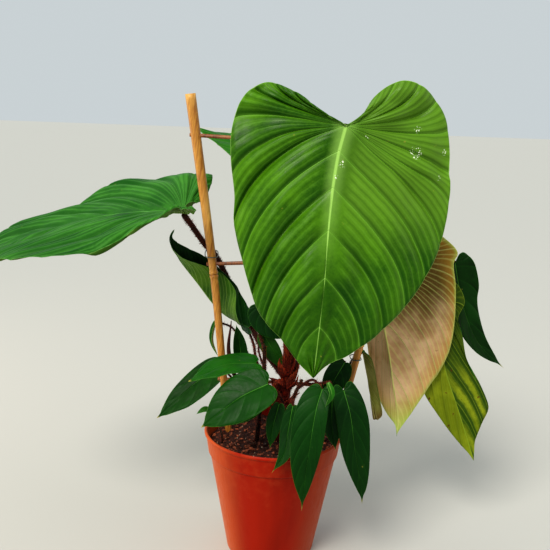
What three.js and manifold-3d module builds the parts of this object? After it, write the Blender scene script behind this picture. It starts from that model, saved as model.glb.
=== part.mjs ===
// A fuzzy petiole philodendron growing up a bamboo ladder in a plastic nursery pot.
// Millimetres, +Z up. The origin is where the middle of the pot stands on the table, and
// -Y is the side that the big front leaf faces.
import * as THREE from "three";
import { mergeVertices } from "three/addons/utils/BufferGeometryUtils.js";
import Module from "manifold-3d";

const wasm = await Module();
wasm.setup();

// The pot, a thin injection-moulded shell
const POT_HEIGHT = 155;
const POT_RIM_RADIUS = 85;
const POT_BASE_RADIUS = 54;
const POT_WALL = 1.6;
const POT_FLOOR = 3.6;
const BAND_HEIGHT = 27;
const BAND_STEP = 2;
const BAND_LOWER_RADIUS = 79.6;
const FOOT_RECESS = 1.8;
const DRAIN_HOLES = 6;
const DRAIN_RADIUS = 4;
const DRAIN_CIRCLE = 34;
const POT_SIDES = 44;

// The potting mix
const SOIL_LEVEL = 140;
const SOIL_BUMP = 1.6;
const SOIL_SIDES = 36;

// What touches keeps this much air
const GAP = 0.3;

// The bamboo ladder: two stakes that spread upwards and three rungs through them
const RUNG_RADIUS = 2.25;
const RUNG_OVERHANG = 7;
const LEFT_STAKE = {
  points: [[-45, 23, 42], [-57, 23, 140], [-79.5, 23, 345], [-109.5, 23, 553]],
  radii: [2.4, 4.2, 4.6, 4.8, 5.2, 5.6, 6],
  nodes: [341],
};
const RIGHT_STAKE = {
  points: [[56, 4, 52], [74, 5, 140], [88.5, 5, 207], [158, 5, 538]],
  radii: [2.4, 4, 4.4, 4.6, 4.9, 5.2, 5.6],
  nodes: [262, 452],
};
const RUNGS = [
  { name: "rung_top", left: 506, right: 499 },
  { name: "rung_middle", left: 354, right: 371 },
  { name: "rung_low", left: 208, right: 210 },
];

// The loops of thin wire that hold a petiole to a stake
const TIE_RADIUS = 0.6;
const TIES = [
  { name: "tie_left", stake: [-82, 23, 363], held: [-84.5, 55, 363], reach: 7.4 },
  { name: "tie_right", stake: [96.8, 5, 246], held: [96, 16, 246], reach: 6 },
];

const colours = {
  pot: 0xb5501f,
  soil: 0x3f2415,
  bamboo: 0xb27a2c,
  rung: 0xa8693c,
  tie: 0x26332a,
  leaf: 0x2f6f16,
  darkLeaf: 0x0f4410,
  paleUnderside: 0x8d8a4e,
  stem: 0x4a150b,
};

const toVector = ([x, y, z]) => new THREE.Vector3(x, y, z ?? 0);
const curveThrough = (points, closed = false) =>
  new THREE.CatmullRomCurve3(points.map(toVector), closed, "centripetal");

// A value read off an evenly spaced list, part way along it
function along(list, part) {
  if (list.length === 1) return list[0];
  const place = THREE.MathUtils.clamp(part, 0, 1) * (list.length - 1);
  const low = Math.min(Math.floor(place), list.length - 2);
  return THREE.MathUtils.lerp(list[low], list[low + 1], place - low);
}

function meshGeometry(vertices, triangles) {
  const geometry = new THREE.BufferGeometry();
  const positions = vertices.flatMap((v) => [v.x, v.y, v.z]);
  geometry.setAttribute("position", new THREE.Float32BufferAttribute(positions, 3));
  geometry.setIndex(triangles.flat());
  return geometry;
}

function solidOf(geometry) {
  const bare = geometry.clone();
  bare.deleteAttribute("normal");
  bare.deleteAttribute("uv");
  const merged = mergeVertices(bare, 1e-4);
  const vertProperties = new Float32Array(merged.attributes.position.array);
  const triVerts = new Uint32Array(merged.index.array);
  return new wasm.Manifold(new wasm.Mesh({ numProp: 3, vertProperties, triVerts }));
}

function geometryOf(solid) {
  const { numProp, vertProperties, triVerts } = solid.getMesh();
  const geometry = new THREE.BufferGeometry();
  const positions = [];
  for (let i = 0; i < vertProperties.length; i += numProp) {
    positions.push(vertProperties[i], vertProperties[i + 1], vertProperties[i + 2]);
  }
  geometry.setAttribute("position", new THREE.Float32BufferAttribute(positions, 3));
  geometry.setIndex([...triVerts]);
  geometry.computeVertexNormals();
  return geometry;
}

// A tapering rod along a curve, with a domed far end; a closed one is a ring
function rod(points, radii, { sides = 6, steps = 10, closed = false, domed = true } = {}) {
  const curve = curveThrough(points, closed);
  const frames = curve.computeFrenetFrames(steps, closed);
  const rings = [];
  const ringCount = closed ? steps : steps + 1;
  for (let k = 0; k < ringCount; k += 1) {
    const part = k / steps;
    rings.push({ at: curve.getPointAt(part), radius: along(radii, part), k });
  }
  if (domed && !closed) {
    const end = rings[steps];
    const tangent = frames.tangents[steps];
    const shoulder = end.at.clone().addScaledVector(tangent, end.radius * 0.7);
    rings.push({ at: shoulder, radius: end.radius * 0.7, k: steps });
  }
  const vertices = [];
  rings.forEach(({ at, radius, k }) => {
    for (let i = 0; i < sides; i += 1) {
      const angle = (2 * Math.PI * i) / sides;
      const point = at.clone();
      point.addScaledVector(frames.normals[k], radius * Math.cos(angle));
      point.addScaledVector(frames.binormals[k], radius * Math.sin(angle));
      vertices.push(point);
    }
  });
  const triangles = [];
  const spans = closed ? rings.length : rings.length - 1;
  for (let k = 0; k < spans; k += 1) {
    const next = (k + 1) % rings.length;
    for (let i = 0; i < sides; i += 1) {
      const j = (i + 1) % sides;
      const [a, b, c, d] = [k * sides + i, k * sides + j, next * sides + j, next * sides + i];
      triangles.push([a, b, c], [a, c, d]);
    }
  }
  if (!closed) {
    const last = rings[rings.length - 1];
    const reach = domed ? rings[steps].radius * 0.3 : 0;
    vertices.push(rings[0].at.clone());
    vertices.push(last.at.clone().addScaledVector(frames.tangents[steps], reach));
    const [start, finish] = [vertices.length - 2, vertices.length - 1];
    const offset = (rings.length - 1) * sides;
    for (let i = 0; i < sides; i += 1) {
      const j = (i + 1) % sides;
      triangles.push([start, j, i], [finish, offset + i, offset + j]);
    }
  }
  return meshGeometry(vertices, triangles);
}

// Outlines of half a blade: across in half widths, along in lengths from where the petiole
// joins to the tip. The veins run from the midrib and reach the edge nearer the tip.
const HEART = {
  edges: [[[0, 0], [0.14, -0.07], [0.36, -0.15], [0.62, -0.17], [0.88, -0.08], [1, 0.12], [0.98, 0.3],
    [0.85, 0.52], [0.62, 0.72], [0.32, 0.87], [0.08, 0.945], [0, 1]]],
  lobeShare: 0.36,
  veinCrowding: 1.45,
};
const FRONT_HEART = {
  edges: [
    [[0, 0], [0.28, -0.04], [0.55, -0.085], [0.81, -0.087], [0.97, -0.01], [1, 0.09], [0.95, 0.2],
      [0.88, 0.31], [0.87, 0.4], [0.77, 0.54], [0.6, 0.74], [0.36, 0.855], [0.14, 0.95], [0, 1]],
    [[0, 0], [0.1, -0.05], [0.17, -0.14], [0.33, -0.22], [0.55, -0.22], [0.78, -0.14], [0.92, 0.01],
      [0.99, 0.2], [0.97, 0.4], [0.82, 0.59], [0.55, 0.765], [0.3, 0.885], [0.1, 0.95], [0, 1]],
  ],
  lobeShare: 0.36,
  veinCrowding: 1.45,
};
const LEVEL_HEART = {
  edges: [
    [[0, 0], [0.12, -0.03], [0.4, -0.08], [0.74, -0.09], [0.94, -0.02], [1, 0.14], [0.98, 0.3], [0.87, 0.5],
      [0.64, 0.72], [0.36, 0.87], [0.12, 0.955], [0, 1]],
    [[0, 0], [0.1, -0.03], [0.28, -0.06], [0.5, -0.03], [0.72, 0.08], [0.92, 0.25], [1, 0.42], [0.9, 0.6],
      [0.66, 0.76], [0.36, 0.88], [0.12, 0.955], [0, 1]],
  ],
  lobeShare: 0.3,
  veinCrowding: 1.35,
};
const BULGED_HEART = {
  edges: [
    [[0, 0], [0.3, -0.08], [0.72, -0.07], [0.9, 0.03], [0.62, 0.14], [0.72, 0.24], [0.74, 0.38], [0.86, 0.56],
      [1, 0.7], [0.56, 0.81], [0.22, 0.89], [0.1, 0.95], [0, 1]],
    [[0, 0], [0.3, -0.06], [0.7, 0.02], [0.98, 0.25], [1, 0.5], [0.82, 0.64], [0.55, 0.78], [0.3, 0.88],
      [0.1, 0.95], [0, 1]],
  ],
  lobeShare: 0.2,
  veinCrowding: 1.25,
};
const CORNERED_HEART = {
  edges: [
    [[0, 0], [0.14, -0.07], [0.36, -0.15], [0.62, -0.15], [0.9, -0.06], [1.06, 0.05], [0.99, 0.1],
      [0.97, 0.22], [0.93, 0.34], [0.84, 0.5], [0.7, 0.63], [0.4, 0.78], [0.17, 0.885], [0.05, 0.95], [0, 1]],
    [[0, 0], [0.14, -0.07], [0.36, -0.15], [0.62, -0.17], [0.88, -0.08], [1, 0.12], [0.98, 0.3], [0.85, 0.52],
      [0.62, 0.72], [0.32, 0.87], [0.08, 0.945], [0, 1]],
  ],
  lobeShare: 0.36,
  veinCrowding: 1.45,
};
const OVAL = {
  edges: [[[0, 0], [0.3, -0.06], [0.66, -0.04], [0.92, 0.1], [1, 0.3], [0.88, 0.52], [0.6, 0.72],
    [0.28, 0.87], [0.07, 0.94], [0, 1]]],
  lobeShare: 0.2,
  veinCrowding: 1.25,
};
const LANCE = {
  edges: [[[0, 0], [0.34, -0.03], [0.72, 0.04], [0.95, 0.18], [1, 0.38], [0.84, 0.58], [0.52, 0.76],
    [0.2, 0.88], [0.05, 0.935], [0, 1]]],
  lobeShare: 0.12,
  veinCrowding: 1.15,
};

// The frame that a blade's cross section hangs in, part way along its midrib
function midribFrame(leaf, curve, part) {
  const tangent = curve.getTangentAt(part);
  const face = toVector(leaf.face[0]).lerp(toVector(leaf.face[1] ?? leaf.face[0]), part);
  face.addScaledVector(tangent, -face.dot(tangent)).normalize();
  return { at: curve.getPointAt(part), tangent, face, left: tangent.clone().cross(face) };
}

// A blade's two faces share one net of rows, which follow the veins, and columns
function bladeGeometry(leaf) {
  const { width, rows, columns, thick = 0.7, rib = 0, quilt = 0, wave = 0, waves = 3 } = leaf;
  const { edges, lobeShare, veinCrowding } = leaf.shape;
  const curve = curveThrough(leaf.spine);
  const length = curve.getLength();
  const frameAt = new Map();
  const frameFor = (part) => {
    if (!frameAt.has(part)) frameAt.set(part, midribFrame(leaf, curve, part));
    return frameAt.get(part);
  };
  const onSide = (value, side) => (Array.isArray(value) ? value[side > 0 ? 0 : 1] : value);
  const angle = (value, side, part) => THREE.MathUtils.degToRad(along([onSide(value, side)].flat(), part));
  const sideWidth = (side) => onSide(width, side);
  const ribShare = rib ? (1.6 * rib) / sideWidth(1) : 0;
  const shares = [0];
  if (rib) shares.push(ribShare);
  for (let j = 1; j <= columns; j += 1) shares.push(ribShare + (1 - ribShare) * (j / columns));

  const edgeCurves = { 1: curveThrough(edges[0]), [-1]: curveThrough(edges[1] ?? edges[0]) };
  const place = (side, row, share) => {
    const part = row / rows;
    const rim = edgeCurves[side].getPointAt(part);
    const start = Math.pow(Math.max(0, (part - lobeShare) / (1 - lobeShare)), veinCrowding);
    const bend = 2 * share * (1 - share);
    const across = bend * 0.62 * rim.x + share * share * rim.x;
    const down = (1 - share) ** 2 * start + bend * (start + 0.25 * (rim.y - start)) + share * share * rim.y;
    const frame = frameFor(THREE.MathUtils.clamp(down, 0, 1));
    const fold = angle(leaf.fold ?? 0, side, down);
    const roll = angle(leaf.roll ?? 0, side, down) || 1e-4;
    const reach = sideWidth(side) * across;
    const turn = roll * across;
    const scale = sideWidth(side) / roll;
    const out = scale * (Math.sin(fold + turn) - Math.sin(fold));
    const up = scale * (Math.cos(fold) - Math.cos(fold + turn));
    const bulge = (row % 2 ? quilt : -quilt) * Math.sqrt(share * (1 - share)) * 2;
    const flutter = wave * share * share * Math.sin(2 * Math.PI * waves * part + side);
    const point = frame.at.clone();
    point.addScaledVector(frame.tangent, Math.min(0, down) * length);
    point.addScaledVector(frame.left, side * out);
    point.addScaledVector(frame.face, up + (reach > 0 ? bulge + flutter : 0));
    return point;
  };

  const points = [];
  const heights = [];
  const net = {};
  const midribIndex = new Map();
  [1, -1].forEach((side) => {
    net[side] = [];
    for (let row = 0; row <= rows; row += 1) {
      const line = shares.map((share, j) => {
        const collapsed = row === 0 || row === rows;
        const onMidrib = j === 0 || collapsed;
        const start = Math.max(0, (row / rows - lobeShare) / (1 - lobeShare));
        const key = row === rows ? "tip" : start.toFixed(6);
        if (onMidrib && midribIndex.has(key)) return midribIndex.get(key);
        points.push(place(side, row, onMidrib && row === 0 ? 0 : share));
        heights.push(onMidrib ? rib * Math.sqrt(Math.max(0, 1 - start)) : 0);
        if (onMidrib) midribIndex.set(key, points.length - 1);
        return points.length - 1;
      });
      net[side].push(line);
    }
  });

  const faces = [];
  const addFace = (a, b, c) => {
    if (a !== b && b !== c && c !== a) faces.push([a, b, c]);
  };
  [1, -1].forEach((side) => {
    for (let row = 0; row < rows; row += 1) {
      for (let j = 0; j < shares.length - 1; j += 1) {
        const [a, b] = [net[side][row][j], net[side][row][j + 1]];
        const [d, c] = [net[side][row + 1][j], net[side][row + 1][j + 1]];
        if (side > 0) {
          addFace(a, c, d);
          addFace(a, b, c);
        } else {
          addFace(a, d, c);
          addFace(a, c, b);
        }
      }
    }
  });
  const middle = meshGeometry(points, faces);
  middle.computeVertexNormals();
  const normals = middle.attributes.normal;
  const shell = [];
  const half = thick / 2;
  points.forEach((point, i) => {
    shell.push(point.clone().addScaledVector(new THREE.Vector3().fromBufferAttribute(normals, i), half));
  });
  points.forEach((point, i) => {
    const drop = -half - heights[i];
    shell.push(point.clone().addScaledVector(new THREE.Vector3().fromBufferAttribute(normals, i), drop));
  });
  const count = points.length;
  const triangles = [];
  const openEdges = new Map();
  faces.forEach(([a, b, c]) => {
    triangles.push([a, b, c], [count + a, count + c, count + b]);
    [[a, b], [b, c], [c, a]].forEach(([p, q]) => {
      if (openEdges.has(q + "," + p)) openEdges.delete(q + "," + p);
      else openEdges.set(p + "," + q, [p, q]);
    });
  });
  openEdges.forEach(([p, q]) => triangles.push([q, p, count + p], [q, count + p, count + q]));
  return meshGeometry(shell, triangles);
}

// The pot: a tapering wall, a band round the rim with a rolled lip, a recessed floor with
// drainage holes that stands on an outer ring and a middle pad
function potGeometry() {
  const bandFoot = POT_HEIGHT - BAND_HEIGHT;
  const underBand = BAND_LOWER_RADIUS - BAND_STEP;
  const profile = [
    [0, 0],
    [16, 0],
    [18, FOOT_RECESS],
    [POT_BASE_RADIUS - 8, FOOT_RECESS],
    [POT_BASE_RADIUS - 6.5, 0],
    [POT_BASE_RADIUS - 1, 0],
    [POT_BASE_RADIUS, 1],
    [underBand, bandFoot - 0.6],
    [BAND_LOWER_RADIUS, bandFoot],
    [POT_RIM_RADIUS - 2.2, POT_HEIGHT - 5],
    [POT_RIM_RADIUS - 0.2, POT_HEIGHT - 4],
    [POT_RIM_RADIUS, POT_HEIGHT - 2],
    [POT_RIM_RADIUS - 1.2, POT_HEIGHT],
    [POT_RIM_RADIUS - 3.4, POT_HEIGHT - 0.8],
    [POT_RIM_RADIUS - 2.2 - POT_WALL, POT_HEIGHT - 5],
    [BAND_LOWER_RADIUS - POT_WALL, bandFoot + 0.6],
    [underBand - POT_WALL, bandFoot - 1.6],
    [POT_BASE_RADIUS - POT_WALL, POT_FLOOR],
    [0, POT_FLOOR],
  ];
  const shell = new THREE.LatheGeometry(profile.map(([r, z]) => new THREE.Vector2(r, z)), POT_SIDES);
  shell.rotateX(Math.PI / 2);
  let pot = solidOf(shell);
  for (let i = 0; i < DRAIN_HOLES; i += 1) {
    const angle = (2 * Math.PI * i) / DRAIN_HOLES;
    const hole = new THREE.CylinderGeometry(DRAIN_RADIUS, DRAIN_RADIUS, 4 * POT_FLOOR, 10);
    hole.rotateX(Math.PI / 2);
    hole.translate(DRAIN_CIRCLE * Math.cos(angle), DRAIN_CIRCLE * Math.sin(angle), POT_FLOOR / 2);
    pot = pot.subtract(solidOf(hole));
  }
  return geometryOf(pot);
}

// The mix fills the pot to 15 mm under the rim, with a lumpy top and a plain hole for each
// stem and stake that stands in it
function soilGeometry(holes) {
  const bandFoot = POT_HEIGHT - BAND_HEIGHT;
  const inside = BAND_LOWER_RADIUS - POT_WALL - GAP;
  const topRadius = inside + 1;
  const profile = [
    [0, POT_FLOOR + GAP],
    [POT_BASE_RADIUS - POT_WALL - GAP - 0.4, POT_FLOOR + GAP],
    [BAND_LOWER_RADIUS - BAND_STEP - POT_WALL - GAP - 0.2, bandFoot - 1.6],
    [inside - 0.1, bandFoot + 0.8],
    [topRadius, SOIL_LEVEL - 3],
  ];
  const topRings = 7;
  for (let i = 0; i <= topRings; i += 1) {
    profile.push([topRadius * (0.985 - 0.985 * (i / topRings)), SOIL_LEVEL]);
  }
  const lump = new THREE.LatheGeometry(profile.map(([r, z]) => new THREE.Vector2(r, z)), SOIL_SIDES);
  lump.rotateX(Math.PI / 2);
  const position = lump.attributes.position;
  for (let i = 0; i < position.count; i += 1) {
    const [x, y, z] = [position.getX(i), position.getY(i), position.getZ(i)];
    if (z < SOIL_LEVEL - 0.5) continue;
    const clods = Math.sin(0.31 * x + 0.17 * y) * Math.cos(0.23 * y - 0.11 * x);
    const roughness = clods + 0.7 * Math.sin(0.53 * x - 0.47 * y);
    const sag = 1.5 * (Math.hypot(x, y) / topRadius) ** 4;
    position.setZ(i, z + SOIL_BUMP * roughness - sag);
  }
  let soil = solidOf(lump);
  holes.forEach((hole) => {
    soil = soil.subtract(hole);
  });
  return geometryOf(soil);
}

// A straight hole along a rod's buried end
function buriedHole(points, radius) {
  const [foot, ground] = points.map(toVector);
  const axis = ground.clone().sub(foot);
  const depth = axis.length();
  axis.normalize();
  const above = 30;
  const hole = new THREE.CylinderGeometry(radius + GAP, radius + GAP, depth + above, 12);
  hole.translate(0, (depth + above) / 2 - GAP, 0);
  hole.applyQuaternion(new THREE.Quaternion().setFromUnitVectors(new THREE.Vector3(0, 1, 0), axis));
  hole.translate(foot.x, foot.y, foot.z);
  return solidOf(hole);
}

// Where a straight-sided stake's middle is at a height
function stakeAt(stake, z) {
  const points = stake.points.map(toVector);
  let k = 1;
  while (k < points.length - 1 && points[k].z < z) k += 1;
  const [low, high] = [points[k - 1], points[k]];
  return low.clone().lerp(high, (z - low.z) / (high.z - low.z));
}

function rungEnds({ left, right }) {
  const [a, b] = [stakeAt(LEFT_STAKE, left), stakeAt(RIGHT_STAKE, right)];
  const step = b.clone().sub(a).normalize().multiplyScalar(RUNG_OVERHANG);
  return [a.sub(step), b.add(step)];
}

// A rung is a split and rounded stick, a little crooked
function rungGeometry(rung, radius = RUNG_RADIUS, sides = 8) {
  const [a, b] = rungEnds(rung);
  const third = (part) => a.clone().lerp(b, part).toArray();
  const points = [a.toArray(), third(0.33), third(0.66), b.toArray()];
  return rod(points, [radius], { sides, steps: 3, domed: false });
}

// A stake with its swollen joints, drilled for the rungs
function stakeGeometry(stake) {
  const curve = curveThrough(stake.points);
  let solid = solidOf(rod(stake.points, stake.radii, { sides: 12, steps: 14, domed: false }));
  stake.nodes.forEach((z) => {
    const at = stakeAt(stake, z);
    const part = (z - stake.points[0][2]) / (stake.points[3][2] - stake.points[0][2]);
    const tangent = curve.getTangentAt(part);
    const radius = along(stake.radii, part);
    const collar = [-3.2, -1.6, 1.6, 3.2].map((step) => at.clone().addScaledVector(tangent, step).toArray());
    const swelling = [radius - 0.4, radius + 0.6, radius + 0.6, radius - 0.4];
    solid = solid.add(solidOf(rod(collar, swelling, { sides: 12, steps: 4, domed: false })));
  });
  RUNGS.forEach((rung) => {
    solid = solid.subtract(solidOf(rungGeometry(rung, RUNG_RADIUS + GAP, 10)));
  });
  return geometryOf(solid);
}

// A closed loop of wire around a stake and the petiole beside it
function tieGeometry({ stake, held, reach }) {
  const [a, b] = [toVector(stake), toVector(held)];
  const out = b.clone().sub(a).normalize();
  const side = new THREE.Vector3(-out.y, out.x, 0);
  const turns = [[a, -1, 0], [a, -0.1, 1], [b, 0.1, 1], [b, 1, 0], [b, 0.1, -1], [a, -0.1, -1]];
  const loop = turns.map(([centre, onward, across]) => (
    centre.clone().addScaledVector(out, reach * onward).addScaledVector(side, reach * across).toArray()
  ));
  return rod(loop, [TIE_RADIUS], { sides: 6, steps: 26, closed: true });
}

// The leaves. spine runs down the midrib from where the petiole joins to the tip; face is the
// way that the upper side looks, at the base and at the tip; width is the half width, on the
// left and right of someone who looks at the upper side of a hanging leaf; fold is the angle
// that each half stands up from the midrib, and roll how much more it bends out to the edge.
const LEAVES = [
  {
    name: "leaf_front",
    spine: [[66, -40, 525], [59, -45, 494], [54, -51, 454], [51, -60, 403], [49, -66, 346], [42, -70, 247]],
    face: [[0.05, -1, 0.2], [0, -1, 0.1]],
    width: [121, 136], shape: FRONT_HEART, rows: 20, columns: 5,
    thick: 0.9, rib: 1.6, fold: -5, roll: -8, quilt: 1.3, wave: 1.5, colour: "leaf",
  },
  {
    name: "leaf_left",
    spine: [[-115, 20, 416], [-157, 20, 415], [-205, 20, 409], [-270, 20, 391], [-330, 18, 366],
      [-389, 15, 330]],
    face: [[0, -0.09, 1], [-0.2, -0.14, 1]],
    width: 112, shape: LEVEL_HEART, rows: 17, columns: 4,
    thick: 0.9, rib: 1.6, fold: [[20, 9, 6, 3, 4, 2], [14, -1, 4, 7, 6, 2]], roll: [-2, -6],
    quilt: 1.2, wave: 3, colour: "leaf",
  },
  {
    name: "leaf_folded",
    spine: [[-37, 62, 264], [-71, 60, 283], [-103, 58, 322], [-127, 57, 354], [-136, 56, 378],
      [-131, 55, 389]],
    face: [[0.7, -0.35, 0.65], [0.9, -0.35, 0.1]],
    width: [38, 46], shape: LANCE, rows: 13, columns: 3,
    fold: [[5, 25, 52, 64, 62, 55, 40], [20, 45, 72, 80, 62, 30, 10]], roll: 8, quilt: 0.7, wave: 1,
    colour: "darkLeaf",
  },
  {
    name: "leaf_behind",
    spine: [[55, 60, 452], [-29, 75, 487], [-107, 85, 511]],
    face: [[-0.2, -0.12, 1], [-0.2, -0.2, 1]],
    width: 58, shape: HEART, rows: 12, columns: 3,
    fold: [0, -6], roll: -6, quilt: 0.8, wave: 2, colour: "leaf",
  },
  {
    name: "leaf_tan",
    spine: [[111, 26, 362], [126, 30, 302], [139, 31, 251], [148, 30, 205], [157, 28, 158], [156, 26, 139]],
    face: [[-0.1, 1, 0.2], [-0.15, 1, 0]],
    width: [98, 46], shape: CORNERED_HEART, rows: 16, columns: 4,
    thick: 0.8, rib: 1.2, fold: [0, [62, 62, 56, 42, 20]], roll: [-4, 10], quilt: 0.9, wave: 2,
    colour: "paleUnderside",
  },
  {
    name: "leaf_far_right",
    spine: [[222, 72, 355], [230, 74, 324], [242, 74, 287], [261, 73, 251], [296, 70, 219]],
    face: [[0.2, -1, 0.2], [0.2, -1, 0.2]],
    width: [20, 17], shape: OVAL, rows: 12, columns: 3,
    fold: [10, 5], roll: 5, quilt: 0.7, wave: 1.5, colour: "darkLeaf",
  },
  {
    name: "leaf_striped",
    spine: [[197, 48, 312], [214, 47, 226], [236, 45, 168], [261, 42, 101]],
    face: [[0, 1, 0], [-0.1, 1, 0.1]],
    width: [40, 34], shape: BULGED_HEART, rows: 16, columns: 3,
    fold: 4, roll: 4, quilt: 0.8, wave: 0.8, colour: "paleUnderside",
  },
  {
    name: "leaf_edge_on",
    spine: [[106, 20, 249], [116, 20, 208], [126, 18, 165]],
    face: [[1, 0.1, 0.3], [1, 0.2, 0.2]],
    width: 15, shape: LANCE, rows: 8, columns: 2,
    fold: 25, roll: 10, colour: "paleUnderside",
  },
  {
    name: "leaf_low_left",
    spine: [[-74, 54, 214], [-106, 48, 188], [-150, 36, 147]],
    face: [[-0.3, -0.7, 0.7], [-0.4, -0.8, 0.4]],
    width: [18, 26], shape: OVAL, rows: 9, columns: 3,
    fold: 12, roll: -6, quilt: 0.4, wave: 0.8, colour: "leaf",
  },
  {
    name: "leaf_upper_left",
    spine: [[-24, -20, 245], [-63, -29, 244], [-102, -38, 226]],
    face: [[0, -0.17, 1], [-0.1, -0.25, 1]],
    width: 25, shape: OVAL, rows: 9, columns: 3,
    fold: 4, roll: -6, quilt: 0.4, wave: 0.8, colour: "leaf",
  },
  {
    name: "leaf_broad_left",
    spine: [[-9, -62, 235], [-40, -68, 220], [-83, -75, 185]],
    face: [[-0.1, -0.65, 0.75], [-0.2, -0.8, 0.5]],
    width: [27, 30], shape: OVAL, rows: 10, columns: 3,
    fold: 8, roll: -6, quilt: 0.5, wave: 0.8, colour: "darkLeaf",
  },
  {
    name: "leaf_under_broad",
    spine: [[-15, -56, 218], [-28, -60, 202], [-44, -62, 184]],
    face: [[0, -0.6, 0.8], [-0.1, -0.6, 0.8]],
    width: 12, shape: LANCE, rows: 6, columns: 2,
    fold: 10, roll: -5, colour: "leaf",
  },
  {
    name: "leaf_hanging_dark",
    spine: [[5, -60, 211], [-1, -63, 185], [-4, -65, 158]],
    face: [[-0.1, -1, 0.2], [-0.1, -1, 0.1]],
    width: [9, 10], shape: LANCE, rows: 7, columns: 2,
    fold: 12, roll: 0, colour: "darkLeaf",
  },
  {
    name: "leaf_front_small",
    spine: [[20, -76, 215], [16, -84, 190], [12, -93, 165], [-1, -96, 143]],
    face: [[-0.3, -1, 0.2], [-0.5, -1, 0.2]],
    width: [9, 12], shape: LANCE, rows: 8, columns: 2,
    fold: 15, roll: 0, colour: "darkLeaf",
  },
  {
    name: "leaf_front_hanging",
    spine: [[52, -80, 238], [46, -92, 221], [40, -102, 179], [36, -104, 138], [34, -104, 102]],
    face: [[-0.1, -1, 0.6], [0, -1, 0]],
    width: [23, 14], shape: LANCE, rows: 10, columns: 3,
    fold: 8, roll: -15, quilt: 0.5, wave: 0.8, colour: "darkLeaf",
  },
  {
    name: "leaf_shaded",
    spine: [[66, -46, 223], [67, -52, 185], [73, -56, 153]],
    face: [[0.2, -1, 0.2], [0.2, -1, 0.1]],
    width: 13, shape: LANCE, rows: 7, columns: 2,
    fold: 10, roll: 0, colour: "darkLeaf",
  },
  {
    name: "leaf_right_hanging",
    spine: [[79, -48, 225], [87, -58, 200], [94, -64, 159], [104, -66, 110], [106, -66, 93]],
    face: [[0.1, -1, 0.4], [0, -1, 0]],
    width: [17, 20], shape: OVAL, rows: 10, columns: 3,
    fold: 8, roll: -10, quilt: 0.5, wave: 0.8, colour: "darkLeaf",
  },
  {
    name: "leaf_under_tip",
    spine: [[81, -20, 250], [67, -25, 223], [60, -28, 199]],
    face: [[0, -1, 0.3], [0, -1, 0.1]],
    width: 15, shape: LANCE, rows: 7, columns: 2,
    fold: 10, roll: 0, colour: "darkLeaf",
  },
  {
    name: "leaf_curl",
    spine: [[57, -92, 250], [61, -95, 239], [55, -94, 222]],
    face: [[0.6, -1, 0.2], [0.6, -1, 0.1]],
    width: 4, shape: LANCE, rows: 6, columns: 2,
    fold: 15, roll: 15, colour: "paleUnderside",
  },
  {
    name: "leaf_dark_middle",
    spine: [[-22, 10, 309], [-11, 6, 289], [9, 2, 268]],
    face: [[-0.3, -1, 0.1], [-0.2, -1, 0.2]],
    width: [20, 16], shape: OVAL, rows: 8, columns: 2,
    fold: 10, roll: 0, quilt: 0.4, colour: "darkLeaf",
  },
  {
    name: "leaf_two_toned",
    spine: [[-18, 15, 272], [-3, 10, 250], [11, 6, 227]],
    face: [[0, -1, 0.1], [0, -1, 0.2]],
    width: [12, 13], shape: LANCE, rows: 7, columns: 2,
    fold: [10, 40], roll: 0, colour: "darkLeaf",
  },
  {
    name: "leaf_curled_left",
    spine: [[-77, 45, 275], [-80, 45, 251], [-73, 45, 228]],
    face: [[-1, -0.4, 0], [-1, -0.4, 0]],
    width: 6, shape: LANCE, rows: 6, columns: 2,
    fold: 30, roll: 20, colour: "paleUnderside",
  },
  {
    name: "leaf_upright_dark",
    spine: [[-43, 32, 226], [-46, 31, 252], [-51, 30, 278]],
    face: [[0.1, -1, 0], [0.1, -1, 0]],
    width: 9, shape: LANCE, rows: 6, columns: 2,
    fold: 15, roll: 0, colour: "darkLeaf",
  },
  {
    name: "leaf_rim_left",
    spine: [[-74, 4, 168], [-84, 0, 176], [-96, -4, 171]],
    face: [[0, -0.3, 1], [-0.2, -0.3, 1]],
    width: 6, shape: LANCE, rows: 6, columns: 2,
    fold: 10, roll: 0, colour: "leaf",
  },
];

// Where a petiole of a given thickness ends, just under the base of its blade
function seat(leafName, radius) {
  const leaf = LEAVES.find(({ name }) => name === leafName);
  const { at, face } = midribFrame(leaf, curveThrough(leaf.spine), 0);
  const below = (leaf.thick ?? 0.7) / 2 + (leaf.rib ?? 0) + GAP + radius;
  return at.addScaledVector(face, -below).toArray();
}

// A new leaf, still rolled in its pointed red sheath
const SPIKE_RADII = [1.4, 1.6, 2.6, 2.8, 1.8, 0.5];

// A dry sheath that stands off the main stem where a petiole leaves it
const SHEATH_RADII = [4.5, 5.5, 4.5, 2.6, 0.6];

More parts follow.
